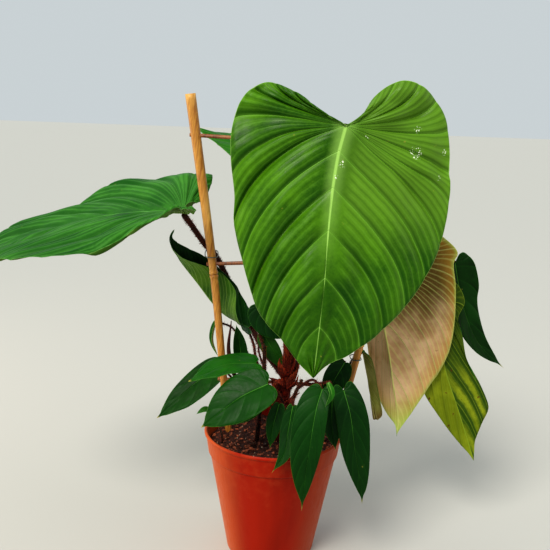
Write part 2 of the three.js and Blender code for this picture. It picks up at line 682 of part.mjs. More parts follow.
// The vines. Each stem stands straight in its hole up to the soil and then bends; its petioles
// start in the stem's middle and end under a blade.
const VINES = [
  {
    name: "vine_main",
    stem: [[8, 2, 104], [8, 2, 126], [8, 2, 148], [10, 2, 182], [14, 0, 225], [20, -2, 260], [27, -4, 300],
      [34, -5, 340], [38, -5, 375]],
    radii: [7, 7, 7, 6.8, 6.4, 6, 5.5, 4.5],
    sides: 10, steps: 16,
    petioles: [
      { leaf: "leaf_front", from: [36, -5, 360], via: [[48, 2, 415], [60, -6, 480]], radii: [4.2, 3.2] },
      {
        leaf: "leaf_left",
        from: [13, 0, 218],
        via: [[3, 17, 226], [-10, 36, 236], [-29, 72, 254], [-45, 90, 278], [-57, 88, 301], [-70, 79, 332],
          [-81, 63, 357], [-92, 43, 374], [-109, 31, 401]],
        radii: [4, 3.4, 3.2],
      },
      { leaf: "leaf_behind", from: [30, -4, 320], via: [[44, 40, 390]], radii: [3.4, 2.8] },
      { leaf: "leaf_tan", from: [23, -3, 280], via: [[56, 18, 320], [92, 17, 358]], radii: [3.6, 3] },
      { leaf: "leaf_far_right", from: [16, 0, 244],
        via: [[70, 84, 300], [160, 100, 360]], radii: [3.2, 2.8] },
      { leaf: "leaf_striped", from: [13, 1, 220],
        via: [[60, 72, 262], [120, 92, 320], [172, 76, 348], [193, 54, 338]],
        radii: [3.4, 2.6] },
    ],
    sheaths: [
      [[9, 1, 176], [5, -3, 192], [0, -6, 208], [-5, -8, 222]],
      [[12, -1, 200], [17, -4, 216], [23, -8, 231], [28, -11, 244]],
      [[16, 0, 228], [13, -4, 244], [11, -8, 258], [8, -11, 270]],
      [[8, 0, 156], [12, -5, 168], [16, -9, 178], [19, -12, 188]],
    ],
  },
  {
    name: "vine_left",
    stem: [[-20, -8, 112], [-20, -8, 129], [-20, -8, 146], [-17, -8, 190], [-14, -6, 230], [-15, -4, 262]],
    radii: [2.6, 2.6, 2.6, 2.4, 2.2, 1.8],
    sides: 7, steps: 9,
    petioles: [
      { leaf: "leaf_folded", from: [-14, -6, 226], via: [[-24, 14, 236], [-29, 44, 248]], radii: [1.7, 1.5] },
      { leaf: "leaf_upper_left", from: [-15, -7, 214], via: [[-14, -17, 234]], radii: [1.4, 1.2] },
      { leaf: "leaf_dark_middle", from: [-15, -4, 256], via: [[-24, 16, 284]], radii: [1.4, 1.2] },
      { leaf: "leaf_two_toned", from: [-14, -6, 234], via: [[-22, 20, 250]], radii: [1.3, 1.1] },
      { leaf: "leaf_upright_dark", from: [-18, -8, 172], via: [[-34, 22, 196]], radii: [1.5, 1.2] },
      { leaf: "leaf_low_left", from: [-19, -8, 162],
        via: [[-40, 36, 184], [-60, 56, 202]], radii: [1.5, 1.2] },
      { leaf: "leaf_curled_left", from: [-18, -8, 182],
        via: [[-30, 40, 222], [-56, 56, 264]], radii: [1.4, 1.1] },
    ],
    spikes: [[[-17, -8, 192], [-46, 2, 214], [-58, 12, 246], [-56, 14, 286]]],
  },
  {
    name: "vine_front",
    stem: [[14, -42, 112], [14, -42, 129], [14, -42, 146], [16, -44, 180], [22, -46, 215], [30, -48, 236]],
    radii: [2.4, 2.4, 2.4, 2.2, 2, 1.8],
    sides: 7, steps: 9,
    petioles: [
      { leaf: "leaf_broad_left", from: [17, -44, 190], via: [[2, -50, 222]], radii: [1.5, 1.2] },
      { leaf: "leaf_under_broad", from: [15, -43, 165], via: [[-2, -48, 200]], radii: [1.3, 1.1] },
      { leaf: "leaf_hanging_dark", from: [16, -44, 178], via: [[10, -50, 204]], radii: [1.3, 1.1] },
      { leaf: "leaf_front_small", from: [19, -45, 204], via: [[20, -62, 216]], radii: [1.3, 1.1] },
      { leaf: "leaf_front_hanging", from: [26, -47, 226], via: [[42, -62, 242]], radii: [1.6, 1.3] },
      { leaf: "leaf_curl", from: [28, -48, 230], via: [[50, -60, 238], [60, -80, 246]], radii: [1, 0.9] },
    ],
  },
  {
    name: "vine_right",
    stem: [[52, -18, 112], [52, -18, 129], [52, -18, 146], [54, -16, 180], [60, -12, 215], [66, -8, 240]],
    radii: [2.6, 2.6, 2.6, 2.4, 2.2, 1.8],
    sides: 7, steps: 9,
    petioles: [
      { leaf: "leaf_shaded", from: [54, -16, 185], via: [[48, -30, 200], [53, -42, 220]], radii: [1.3, 1.1] },
      { leaf: "leaf_right_hanging", from: [56, -15, 195], via: [[72, -30, 206]], radii: [1.6, 1.3] },
      { leaf: "leaf_under_tip", from: [64, -9, 234], via: [[76, -10, 250]], radii: [1.4, 1.2] },
      { leaf: "leaf_edge_on", from: [64, -9, 232],
        via: [[82, 8, 228], [95, 16, 244], [101, 18, 257]], radii: [1.4, 1.2] },
    ],
  },
  {
    name: "vine_rim",
    stem: [[-62, -14, 118], [-62, -14, 131], [-62, -14, 146], [-66, -9, 158]],
    radii: [1.6, 1.6, 1.6, 1.4],
    sides: 6, steps: 6,
    petioles: [{ leaf: "leaf_rim_left", from: [-65, -10, 156], via: [[-70, -3, 162]], radii: [1.2, 1] }],
  },
];

function vineGeometry(vine) {
  let solid = solidOf(rod(vine.stem, vine.radii, { sides: vine.sides, steps: vine.steps }));
  vine.petioles.forEach(({ leaf, from, via, radii }) => {
    const route = [from, ...via, seat(leaf, radii[radii.length - 1])];
    const steps = Math.max(5, Math.round(curveThrough(route).getLength() / 16));
    solid = solid.add(solidOf(rod(route, radii, { sides: 6, steps })));
  });
  (vine.spikes ?? []).forEach((route) => {
    solid = solid.add(solidOf(rod(route, SPIKE_RADII, { sides: 6, steps: 9 })));
  });
  (vine.sheaths ?? []).forEach((route) => {
    solid = solid.add(solidOf(rod(route, SHEATH_RADII, { sides: 8, steps: 6, domed: false })));
  });
  return geometryOf(solid);
}

const plant = new THREE.Group();
function addPart(name, geometry, colour, roughness = 0.6) {
  const material = new THREE.MeshStandardMaterial({ color: colours[colour], roughness, metalness: 0 });
  const mesh = new THREE.Mesh(geometry, material);
  mesh.name = name;
  plant.add(mesh);
}

const holes = [LEFT_STAKE, RIGHT_STAKE].map(({ points, radii }) => buriedHole(points.slice(0, 2), radii[1]));
VINES.forEach(({ stem, radii }) => holes.push(buriedHole([stem[0], stem[2]], radii[0] + 0.4)));

addPart("pot", potGeometry(), "pot", 0.45);
addPart("soil", soilGeometry(holes), "soil", 1);
addPart("stake_left", stakeGeometry(LEFT_STAKE), "bamboo", 0.55);
addPart("stake_right", stakeGeometry(RIGHT_STAKE), "bamboo", 0.55);
RUNGS.forEach((rung) => addPart(rung.name, rungGeometry(rung), "rung", 0.7));
TIES.forEach((tie) => addPart(tie.name, tieGeometry(tie), "tie", 0.4));
VINES.forEach((vine) => addPart(vine.name, vineGeometry(vine), "stem", 0.9));
LEAVES.forEach((leaf) => addPart(leaf.name, bladeGeometry(leaf), leaf.colour, 0.4));

export default plant;
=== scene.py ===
# A potted fuzzy petiole philodendron: a plastic pot of mix, a ladder of canes, and climbing stems
# with heart-shaped leaves on long bristly stalks. Lengths in the lists are in millimetres, as a
# grower would measure them, and MM brings them to the frame's metres.
import math

import bpy
import numpy as np
from mathutils import Matrix, Vector, noise


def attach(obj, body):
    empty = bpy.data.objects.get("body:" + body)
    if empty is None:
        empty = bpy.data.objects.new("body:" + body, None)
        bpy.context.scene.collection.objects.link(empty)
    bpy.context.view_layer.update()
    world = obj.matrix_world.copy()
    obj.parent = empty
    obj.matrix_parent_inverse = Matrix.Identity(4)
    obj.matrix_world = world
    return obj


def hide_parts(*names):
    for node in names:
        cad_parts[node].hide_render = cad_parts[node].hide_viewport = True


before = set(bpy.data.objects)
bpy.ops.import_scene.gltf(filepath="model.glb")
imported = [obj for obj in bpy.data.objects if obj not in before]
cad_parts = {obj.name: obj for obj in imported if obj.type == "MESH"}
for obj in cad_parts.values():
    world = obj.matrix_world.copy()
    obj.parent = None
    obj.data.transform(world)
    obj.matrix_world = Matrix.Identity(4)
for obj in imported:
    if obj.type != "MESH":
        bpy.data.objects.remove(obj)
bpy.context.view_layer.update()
MM = 0.001


# Camera. It stands about 0.9 m in front of the pot and a little over the middle of the leaves,
# looks slightly down, and is rolled a little to the left, as the photograph was taken.
CAMERA_PLACE = (-0.005, -0.919, 0.556)
CAMERA_PITCH = 12.75
CAMERA_ROLL = 2.0
PHOTO_WIDTH = 550
SENSOR_WIDTH = 36
FOCAL_LENGTH_IN_PIXELS = 800

pitch = math.radians(CAMERA_PITCH)
roll = math.radians(CAMERA_ROLL)
onward = Vector((0, math.cos(pitch), -math.sin(pitch)))
level_up = Vector((0, math.sin(pitch), math.cos(pitch)))
level_right = Vector((1, 0, 0))
camera_right = level_right * math.cos(roll) + level_up * math.sin(roll)
camera_up = level_up * math.cos(roll) - level_right * math.sin(roll)
lens = bpy.data.cameras.new("camera")
lens.sensor_width = SENSOR_WIDTH
lens.lens = SENSOR_WIDTH * FOCAL_LENGTH_IN_PIXELS / PHOTO_WIDTH
camera = bpy.data.objects.new("camera", lens)
turned = Matrix((camera_right, camera_up, -onward)).transposed().to_4x4()
camera.matrix_world = Matrix.Translation(CAMERA_PLACE) @ turned
bpy.context.scene.collection.objects.link(camera)
bpy.context.scene.camera = camera
bpy.context.scene.view_settings.view_transform = "Standard"
bpy.context.scene.view_settings.look = "Medium High Contrast"


# Floor and light. The pot stands on a plain pale floor. Soft light falls from the upper left in
# front, as from a wide window, weak lamps fill both sides, and a pale sky does the rest.
FLOOR_SIDE = 24.0
FLOOR_LEVEL = -0.0003
FLOOR_TONE = (186, 186, 181)
SKY_TONE = (222, 230, 233)
SKY_STRENGTH = 0.7
WINDOW_STANDS = (-0.8, -1.35, 1.95)
WINDOW_AIMS = (0, 0, 0.3)
WINDOW_STRENGTH = 2.7
WINDOW_TONE = (255, 249, 238)
WINDOW_SPREAD = 28
FILLS = [
    ("right_fill", (1.9, -0.6, 0.9), 1.4, 6, (255, 236, 216)),
    ("left_fill", (-1.5, 0.1, 0.4), 0.9, 9, (255, 232, 208)),
]


def paint(red, green, blue):
    """A colour given as the screen shows it, 0 to 255, as the light that the shader needs."""
    def light(value):
        value /= 255
        return value / 12.92 if value <= 0.04045 else ((value + 0.055) / 1.055) ** 2.4
    return (light(red), light(green), light(blue), 1.0)


def new_finish(name, roughness=0.5, **constants):
    """A material whose shader holds the values that are the same all over the surface."""
    finish = bpy.data.materials.new(name)
    finish.use_nodes = True
    shader = finish.node_tree.nodes["Principled BSDF"]
    shader.inputs["Roughness"].default_value = roughness
    for socket, value in constants.items():
        shader.inputs[socket.replace("_", " ")].default_value = value
    return finish, finish.node_tree, shader


floor_mesh = bpy.data.meshes.new("floor")
edge = FLOOR_SIDE / 2
corners = [(x, y, FLOOR_LEVEL) for x, y in ((-edge, -edge), (edge, -edge), (edge, edge), (-edge, edge))]
floor_mesh.from_pydata(corners, [], [(0, 1, 2, 3)])
floor = bpy.data.objects.new("floor", floor_mesh)
bpy.context.scene.collection.objects.link(floor)
floor_finish, tree, shader = new_finish("pale_floor", 0.75)
shader.inputs["Base Color"].default_value = paint(*FLOOR_TONE)
floor_mesh.materials.append(floor_finish)

sky = bpy.data.worlds.new("pale_sky")
sky.use_nodes = True
background = sky.node_tree.nodes["Background"]
background.inputs[0].default_value = paint(*SKY_TONE)
background.inputs[1].default_value = SKY_STRENGTH
bpy.context.scene.world = sky
window = bpy.data.lights.new("window_light", "SUN")
window.energy = WINDOW_STRENGTH
window.angle = math.radians(WINDOW_SPREAD)
window.color = paint(*WINDOW_TONE)[:3]
lamps = [(window, WINDOW_STANDS)]
for name, stands, size, power, tone in FILLS:
    fill = bpy.data.lights.new(name, "AREA")
    fill.energy = power
    fill.size = size
    fill.color = paint(*tone)[:3]
    lamps.append((fill, stands))
for lamp, stands in lamps:
    lamp_object = bpy.data.objects.new(lamp.name, lamp)
    lamp_object.location = stands
    toward = Vector(WINDOW_AIMS) - Vector(stands)
    lamp_object.rotation_euler = toward.to_track_quat("-Z", "Y").to_euler()
    bpy.context.scene.collection.objects.link(lamp_object)


# Pot. A nursery pot moulded in one piece of thin satin plastic, the colour of terracotta, with a
# tapering wall, a band round the rim, a rolled lip, and a floor with a foot ring and drain holes.
POT_HEIGHT = 155
POT_RIM_RADIUS = 85
POT_BASE_RADIUS = 54
POT_WALL = 1.6
POT_FLOOR = 3.6
BAND_HEIGHT = 27
BAND_STEP = 2
BAND_LOWER_RADIUS = 79.6
FOOT_RECESS = 1.8
DRAIN_HOLES = 6
DRAIN_RADIUS = 4
DRAIN_CIRCLE = 34
DRILL_HEIGHTS = (-2, 8)
MIDDLE_PAD_RADIUS = 16
FOOT_RING_WIDTH = 6.5
MOULD_ROUNDING = 1.2
ROUNDING_STEPS = 4
POT_SIDES = 160
DRAIN_SIDES = 28
POT_TONE = (152, 28, 3)
POT_SHADE = (130, 20, 1)
POT_PAINTED_LIGHT = (196, 98, 42)
POT_BLOOM = (196, 92, 48)


def add(tree, kind, inputs=None, output=0, **settings):
    """Adds a shader node, joins or sets its inputs, and gives one of its outputs."""
    made = tree.nodes.new("ShaderNode" + kind)
    for setting, value in settings.items():
        setattr(made, setting, value)
    for socket, value in (inputs or {}).items():
        if isinstance(value, bpy.types.NodeSocket):
            tree.links.new(value, made.inputs[socket])
        else:
            made.inputs[socket].default_value = value
    return made.outputs[output]


def place_on(tree):
    return add(tree, "TexCoord", output="Object")


def reckon(tree, operation, a, b=0.0):
    return add(tree, "Math", {0: a, 1: b}, operation=operation)


def times(tree, a, b):
    return reckon(tree, "MULTIPLY", a, b)


def plus(tree, a, b):
    return reckon(tree, "ADD", a, b)


def between(tree, value, low, high, to_low=0.0, to_high=1.0):
    """A value from low to high brought smoothly to to_low and to_high."""
    limits = {0: value, 1: low, 2: high, 3: to_low, 4: to_high}
    return add(tree, "MapRange", limits, interpolation_type="SMOOTHSTEP")


def mixed(tree, share, first, second):
    return add(tree, "Mix", {0: share, 6: first, 7: second}, 2, data_type="RGBA")


def tint(tree, tone, colour, value, *span):
    """Lays a colour over a tone where a value, brought along its span, is high."""
    return mixed(tree, between(tree, value, *span), tone, paint(*colour))


def coat(tree, shader, tone, dullness=None):
    """Gives the shader its colour, and its roughness where that varies."""
    tree.links.new(tone, shader.inputs["Base Color"])
    if dullness is not None:
        tree.links.new(dullness, shader.inputs["Roughness"])


def clouds(tree, scale, detail=3.0, place=None, stretch=(1, 1, 1), roughness=0.55):
    """Cloudy noise, with scale in lumps a metre."""
    place = place or place_on(tree)
    if stretch != (1, 1, 1):
        place = add(tree, "Mapping", {0: place, 3: stretch})
    inputs = {"Vector": place, "Scale": scale, "Detail": detail, "Roughness": roughness}
    return add(tree, "TexNoise", inputs)


def relief(tree, shader, height, depth, strength=1.0, under=None):
    """Raises the surface by height times depth, over the relief that is there already."""
    inputs = {"Height": height, "Distance": depth, "Strength": strength}
    if under is not None:
        inputs["Normal"] = under
    bump = add(tree, "Bump", inputs)
    tree.links.new(bump, shader.inputs["Normal"])
    return bump


def new_piece(name, points, faces, finishes, finish_of_face=None, measures=None):
    """An object from points in millimetres, with a named number on each point for its finish."""
    mesh = bpy.data.meshes.new(name)
    mesh.from_pydata((np.asarray(points, float) * MM).tolist(), [], faces)
    for finish in finishes:
        mesh.materials.append(finish)
    if finish_of_face is not None:
        mesh.polygons.foreach_set("material_index", np.asarray(finish_of_face, np.int32))
    for measure, values in (measures or {}).items():
        layer = mesh.attributes.new(measure, "FLOAT", "POINT")
        layer.data.foreach_set("value", np.asarray(values, np.float32))
    mesh.polygons.foreach_set("use_smooth", np.full(len(mesh.polygons), True))
    mesh.update()
    piece = bpy.data.objects.new(name, mesh)
    bpy.context.scene.collection.objects.link(piece)
    return piece


def eased(profile, radius, steps):
    """A profile whose corners are rounded, as a mould's are. The ends stay."""
    points = [np.array(point, float) for point in profile]
    soft = [points[0]]
    for before, corner, after in zip(points, points[1:], points[2:]):
        back, ahead = before - corner, after - corner
        cut = min(radius, 0.42 * np.linalg.norm(back), 0.42 * np.linalg.norm(ahead))
        start = corner + back / np.linalg.norm(back) * cut
        finish = corner + ahead / np.linalg.norm(ahead) * cut
        for share in np.linspace(0, 1, steps + 1):
            soft.append((1 - share) ** 2 * start + 2 * share * (1 - share) * corner + share**2 * finish)
    soft.append(points[-1])
    return soft


def tube_faces(rings, sides, closed=False):
    """The faces between the rings of a tube, and from its last to its first ring if it is closed."""
    faces = []
    for k in range(rings if closed else rings - 1):
        n = (k + 1) % rings
        for i in range(sides):
            j = (i + 1) % sides
            faces.append((k * sides + i, k * sides + j, n * sides + j, n * sides + i))
    return faces


def circle(sides):
    """Cosines and sines of evenly spaced turns, one row a turn."""
    angles = 2 * np.pi * np.arange(sides) / sides
    return np.stack([np.cos(angles), np.sin(angles)], 1)


def turned_solid(profile, sides):
    """Points and faces of a profile turned about the upright axis. It starts and ends on the axis."""
    inner = np.array(profile[1:-1])
    points = [(radius * x, radius * y, height) for radius, height in inner for x, y in circle(sides)]
    faces = tube_faces(len(inner), sides)
    first, last = len(points), len(points) + 1
    points += [(0, 0, profile[0][1]), (0, 0, profile[-1][1])]
    end = (len(inner) - 1) * sides
    for i in range(sides):
        j = (i + 1) % sides
        faces += [(first, j, i), (last, end + i, end + j)]
    return points, faces


band_foot = POT_HEIGHT - BAND_HEIGHT
under_band = BAND_LOWER_RADIUS - BAND_STEP
pot_profile = [
    (0, 0),
    (MIDDLE_PAD_RADIUS, 0),
    (MIDDLE_PAD_RADIUS + 2, FOOT_RECESS),
    (POT_BASE_RADIUS - FOOT_RING_WIDTH - 1.5, FOOT_RECESS),
    (POT_BASE_RADIUS - FOOT_RING_WIDTH, 0),
    (POT_BASE_RADIUS - 1, 0),
    (POT_BASE_RADIUS, 1),
    (under_band, band_foot - 0.6),
    (BAND_LOWER_RADIUS, band_foot),
    (POT_RIM_RADIUS - 2.2, POT_HEIGHT - 5),
    (POT_RIM_RADIUS - 0.2, POT_HEIGHT - 4),
    (POT_RIM_RADIUS, POT_HEIGHT - 2),
    (POT_RIM_RADIUS - 1.2, POT_HEIGHT),
    (POT_RIM_RADIUS - 3.4, POT_HEIGHT - 0.8),
    (POT_RIM_RADIUS - 2.2 - POT_WALL, POT_HEIGHT - 5),
    (BAND_LOWER_RADIUS - POT_WALL, band_foot + 0.6),
    (under_band - POT_WALL, band_foot - 1.6),
    (POT_BASE_RADIUS - POT_WALL, POT_FLOOR),
    (0, POT_FLOOR),
]
pot_points, pot_faces = turned_solid(eased(pot_profile, MOULD_ROUNDING, ROUNDING_STEPS), POT_SIDES)

pot_finish, tree, shader = new_finish(
    "satin_terracotta_plastic", 0.42, Specular_IOR_Level=0.1, Sheen_Weight=0.12, Sheen_Roughness=0.35,
    Sheen_Tint=(1.0, 0.5, 0.24, 1.0),
)
streaks = clouds(tree, 16, 4, stretch=(1, 1, 0.22))
tone = mixed(tree, between(tree, streaks, 0.35, 0.7), paint(*POT_TONE), paint(*POT_SHADE))
# Painted light: the left side is tinted light orange where the light falls, and the right side a little
around = add(tree, "VectorMath", {0: place_on(tree), 1: (1, 1, 0)}, 0, operation="MULTIPLY")
around = add(tree, "VectorMath", {0: around}, 0, operation="NORMALIZE")
sideways = add(tree, "SeparateXYZ", {0: around}, 0)
tone = tint(tree, tone, POT_PAINTED_LIGHT, sideways, -1.0, -0.4, 0.6, 0.0)
tone = tint(tree, tone, POT_PAINTED_LIGHT, sideways, 0.3, 1.0, 0.0, 0.3)
height = add(tree, "SeparateXYZ", {0: place_on(tree)}, 2)
dust = times(tree, clouds(tree, 90, 5), between(tree, height, 0.0, 0.16, 0.25, 0.75))
tone = tint(tree, tone, POT_BLOOM, dust, 0.24, 0.5, 0.0, 0.15)
scuffs = clouds(tree, 420, 3, stretch=(1, 1, 0.08))
dulled = plus(tree, scuffs, times(tree, dust, 0.4))
coat(tree, shader, tone, between(tree, dulled, 0.4, 0.9, 0.33, 0.55))
ripple = relief(tree, shader, clouds(tree, 26, 1, stretch=(1, 1, 0.3)), 0.0008, 0.35)
relief(tree, shader, scuffs, 0.00012, 0.5, ripple)

pot = new_piece("pot_shell", pot_points, pot_faces, [pot_finish])
low, high = DRILL_HEIGHTS
for number in range(DRAIN_HOLES):
    angle = 2 * math.pi * number / DRAIN_HOLES
    drill = turned_solid([(0, low), (DRAIN_RADIUS, low), (DRAIN_RADIUS, high), (0, high)], DRAIN_SIDES)
    centre = np.array([DRAIN_CIRCLE * math.cos(angle), DRAIN_CIRCLE * math.sin(angle), 0])
    cutter = new_piece(f"drill_{number}", np.array(drill[0]) + centre, drill[1], [pot_finish])
    cut = pot.modifiers.new("drain_hole", "BOOLEAN")
    cut.operation = "DIFFERENCE"
    cut.object = cutter
    cut.solver = "EXACT"
    with bpy.context.temp_override(object=pot, active_object=pot):
        bpy.ops.object.modifier_apply(modifier=cut.name)
    bpy.data.objects.remove(cutter)
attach(pot, "root")
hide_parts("pot")


# Potting mix. Dark moist peat with flakes of bark and white grains of perlite, heaped a little
# round the stems and filled to 15 mm under the rim. The flakes and grains lie pressed into it.
SOIL_LEVEL = 140
SOIL_BUMP = 1.6
SOIL_RADIUS = 78.7
SOIL_SIDES = 96
SOIL_RINGS = 34
BARK_FLAKES = 700
PERLITE_GRAINS = 70
BARK_SIZES = (0.8, 2.6)
PERLITE_SIZES = (0.5, 1.1)
BARK_FLATNESS = 0.35
PERLITE_FLATNESS = 0.8
STREWN_RADIUS = 76
OUTER_RING_SHARE = 0.985
PRESSED_IN = 0.15
SOIL_DARK = (26, 9, 5)
SOIL_RED = (112, 50, 28)
BARK_TONE = (58, 24, 14)
BARK_PALE = (190, 104, 66)
PERLITE_TONE = (205, 190, 168)
PERLITE_STAIN = (150, 120, 92)


def soil_height(x, y):
    """The level of the mix at a place, in millimetres, with its clods and its sag to the wall."""
    clods = math.sin(0.31 * x + 0.17 * y) * math.cos(0.23 * y - 0.11 * x)
    clods += 0.7 * math.sin(0.53 * x - 0.47 * y)
    sag = 1.5 * (math.hypot(x, y) / SOIL_RADIUS) ** 4
    crumbs = noise.noise(Vector((x, y, 0)) * 0.35) + 0.5 * noise.noise(Vector((x, y, 5)) * 0.9)
    return SOIL_LEVEL + SOIL_BUMP * clods - sag + 1.1 * crumbs


def crumb(rng, centre, size, flatness):
    """A broken lump with eight corners, flattened, and turned at random."""
    cube = np.array([(x, y, z) for x in (-1, 1) for y in (-1, 1) for z in (-1, 1)], float)
    cube *= np.array([size, size * rng.uniform(0.45, 0.9), size * flatness])
    cube *= rng.uniform(0.55, 1.1, cube.shape)
    spin, lean = rng.uniform(0, 2 * np.pi), rng.uniform(-0.5, 0.5)
    turn = Matrix.Rotation(spin, 3, "Z") @ Matrix.Rotation(lean, 3, "X")
    corners = cube @ np.array(turn).T + centre
    sides = [(0, 1, 3, 2), (4, 6, 7, 5), (0, 4, 5, 1), (2, 3, 7, 6), (0, 2, 6, 4), (1, 5, 7, 3)]
    return corners, sides


def grained(name, dullness, dark, pale, low, high, *kind, **kinds):
    """A finish that goes from dark to pale with a cloudy grain. The grain comes back with it."""
    finish, tree, shader = new_finish(name, dullness)
    grain = clouds(tree, *kind, **kinds)
    coat(tree, shader, tint(tree, paint(*dark), pale, grain, low, high))
    return finish, tree, shader, grain


foot_radius = POT_BASE_RADIUS - POT_WALL - 0.7
shoulder_radius = under_band - POT_WALL - 0.5
soil_profile = [(0, POT_FLOOR + 0.3), (foot_radius, POT_FLOOR + 0.3), (shoulder_radius, band_foot - 1.6)]
soil_profile += [(BAND_LOWER_RADIUS - POT_WALL - 0.4, band_foot + 0.8), (SOIL_RADIUS, SOIL_LEVEL - 3)]
for ring in range(SOIL_RINGS):
    soil_profile.append((SOIL_RADIUS * OUTER_RING_SHARE * (1 - ring / SOIL_RINGS), SOIL_LEVEL))
soil_profile.append((0, SOIL_LEVEL))
soil_points, soil_faces = turned_solid(soil_profile, SOIL_SIDES)
soil_points = [(x, y, soil_height(x, y) if z == SOIL_LEVEL else z) for x, y, z in soil_points]
soil_finish_of_face = [0] * len(soil_faces)
rng = np.random.default_rng(7)
for number in range(BARK_FLAKES + PERLITE_GRAINS):
    bark = number < BARK_FLAKES
    reach, angle = STREWN_RADIUS * math.sqrt(rng.uniform()), rng.uniform(0, 2 * np.pi)
    x, y = reach * math.cos(angle), reach * math.sin(angle)
    size = rng.uniform(*(BARK_SIZES if bark else PERLITE_SIZES))
    centre = np.array([x, y, soil_height(x, y) + PRESSED_IN * size])
    corners, sides = crumb(rng, centre, size, BARK_FLATNESS if bark else PERLITE_FLATNESS)
    first = len(soil_points)
    soil_points += corners.tolist()
    soil_faces += [tuple(first + corner for corner in side) for side in sides]
    soil_finish_of_face += [1 if bark else 2] * len(sides)

soil_finish, tree, shader, grain = grained(
    "moist_potting_mix", 0.9, SOIL_DARK, SOIL_RED, 0.4, 0.72, 700, 6, roughness=0.7
)
relief(tree, shader, grain, 0.0016)
bark_finish, tree, shader, _ = grained(
    "bark_flakes", 0.8, BARK_TONE, BARK_PALE, 0.35, 0.65, 160, 5, stretch=(1, 0.3, 1)
)
relief(tree, shader, clouds(tree, 900, 4), 0.0006)
perlite_finish, tree, shader, grain = grained(
    "perlite", 0.95, PERLITE_STAIN, PERLITE_TONE, 0.3, 0.6, 1500, 2
)
relief(tree, shader, grain, 0.0005)
soil_finishes = [soil_finish, bark_finish, perlite_finish]
soil = new_piece("potting_mix", soil_points, soil_faces, soil_finishes, soil_finish_of_face)
soil.data.polygons.foreach_set("use_smooth", np.array([slot == 0 for slot in soil_finish_of_face]))
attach(soil, "root")
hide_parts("soil")


# Canes. Two bamboo canes driven into the mix, with pale and dark streaks along the grain and a
# ringed joint here and there. With the rungs they make the ladder that stems and stalks lean on.
CANES = [
    dict(name="left_cane", node="stake_left", radii=[2.4, 4.2, 4.6, 4.8, 5.2, 5.6, 6], joints=[341],
         points=[(-45, 23, 42), (-57, 23, 140), (-79.5, 23, 345), (-109.5, 23, 553)]),
    dict(name="right_cane", node="stake_right", radii=[2.4, 4, 4.4, 4.6, 4.9, 5.2, 5.6], joints=[262, 452],
         points=[(56, 4, 52), (74, 5, 140), (88.5, 5, 207), (158, 5, 538)]),
]
CANE_SIDES = 32
CANE_RINGS = 90
JOINT_REACH = 9
JOINT_SWELL = 0.6
JOINT_GROOVE = 0.55
CANE_TONE = (206, 148, 62)
CANE_PALE = (228, 182, 100)
CANE_DARK = (150, 92, 30)


class SmoothLine:
    """A smooth curve through points, with its shares measured along its length."""

    def __init__(self, points, closed=False):
        points = np.array(points, float)
        self.closed = closed
        self.spans = len(points) if closed else len(points) - 1
        if closed:
            self.knots = np.concatenate([points[-1:], points, points[:2]])
        else:
            ends = 2 * points[:1] - points[1:2], 2 * points[-1:] - points[-2:-1]
            self.knots = np.concatenate([ends[0], points, ends[1]])
        self.marks = np.linspace(0, 1, 201)
        steps = np.linalg.norm(np.diff(self.raw(self.marks), axis=0), axis=1)
        self.lengths = np.concatenate([[0], np.cumsum(steps)])
        self.length = self.lengths[-1]

    def raw(self, t):
        place = np.asarray(t, float) * self.spans
        k = np.clip(np.floor(place).astype(int), 0, self.spans - 1)
        w = (place - k)[..., None]
        p0, p1, p2, p3 = (self.knots[k + i] for i in range(4))
        d0, d1, d2 = (
            np.maximum(np.linalg.norm(b - a, axis=-1, keepdims=True), 1e-9) ** 0.5
            for a, b in ((p0, p1), (p1, p2), (p2, p3))
        )
        leave = ((p1 - p0) / d0 - (p2 - p0) / (d0 + d1) + (p2 - p1) / d1) * d1
        arrive = ((p2 - p1) / d1 - (p3 - p1) / (d1 + d2) + (p3 - p2) / d2) * d1
        square = -3 * p1 + 3 * p2 - 2 * leave - arrive
        cube = 2 * p1 - 2 * p2 + leave + arrive
        return p1 + leave * w + square * w**2 + cube * w**3

    def mark(self, share):
        return np.interp(np.asarray(share, float) * self.length, self.lengths, self.marks)

    def at(self, share):
        return self.raw(self.mark(share))

    def heading(self, share):
        mark = self.mark(share)
        step = self.raw(np.minimum(mark + 1e-4, 1)) - self.raw(np.maximum(mark - 1e-4, 0))
        return step / np.linalg.norm(step, axis=-1, keepdims=True)


def along(values, share):
    """A value read off an evenly spaced list, part way along it."""
    values = np.atleast_1d(np.array(values, float))
    if len(values) == 1:
        return np.full(np.shape(share), values[0])
    return np.interp(share, np.linspace(0, 1, len(values)), values)


def carried_frames(headings):
    """Two cross directions for each heading, carried along without a twist."""
    normal = np.cross(headings[0], (0.31, 0.95, 0.08))
    normals = []
    for heading in headings:
        normal = normal - heading * np.dot(normal, heading)
        normal /= np.linalg.norm(normal)
        normals.append(normal)
    normals = np.array(normals)
    return normals, np.cross(headings, normals)


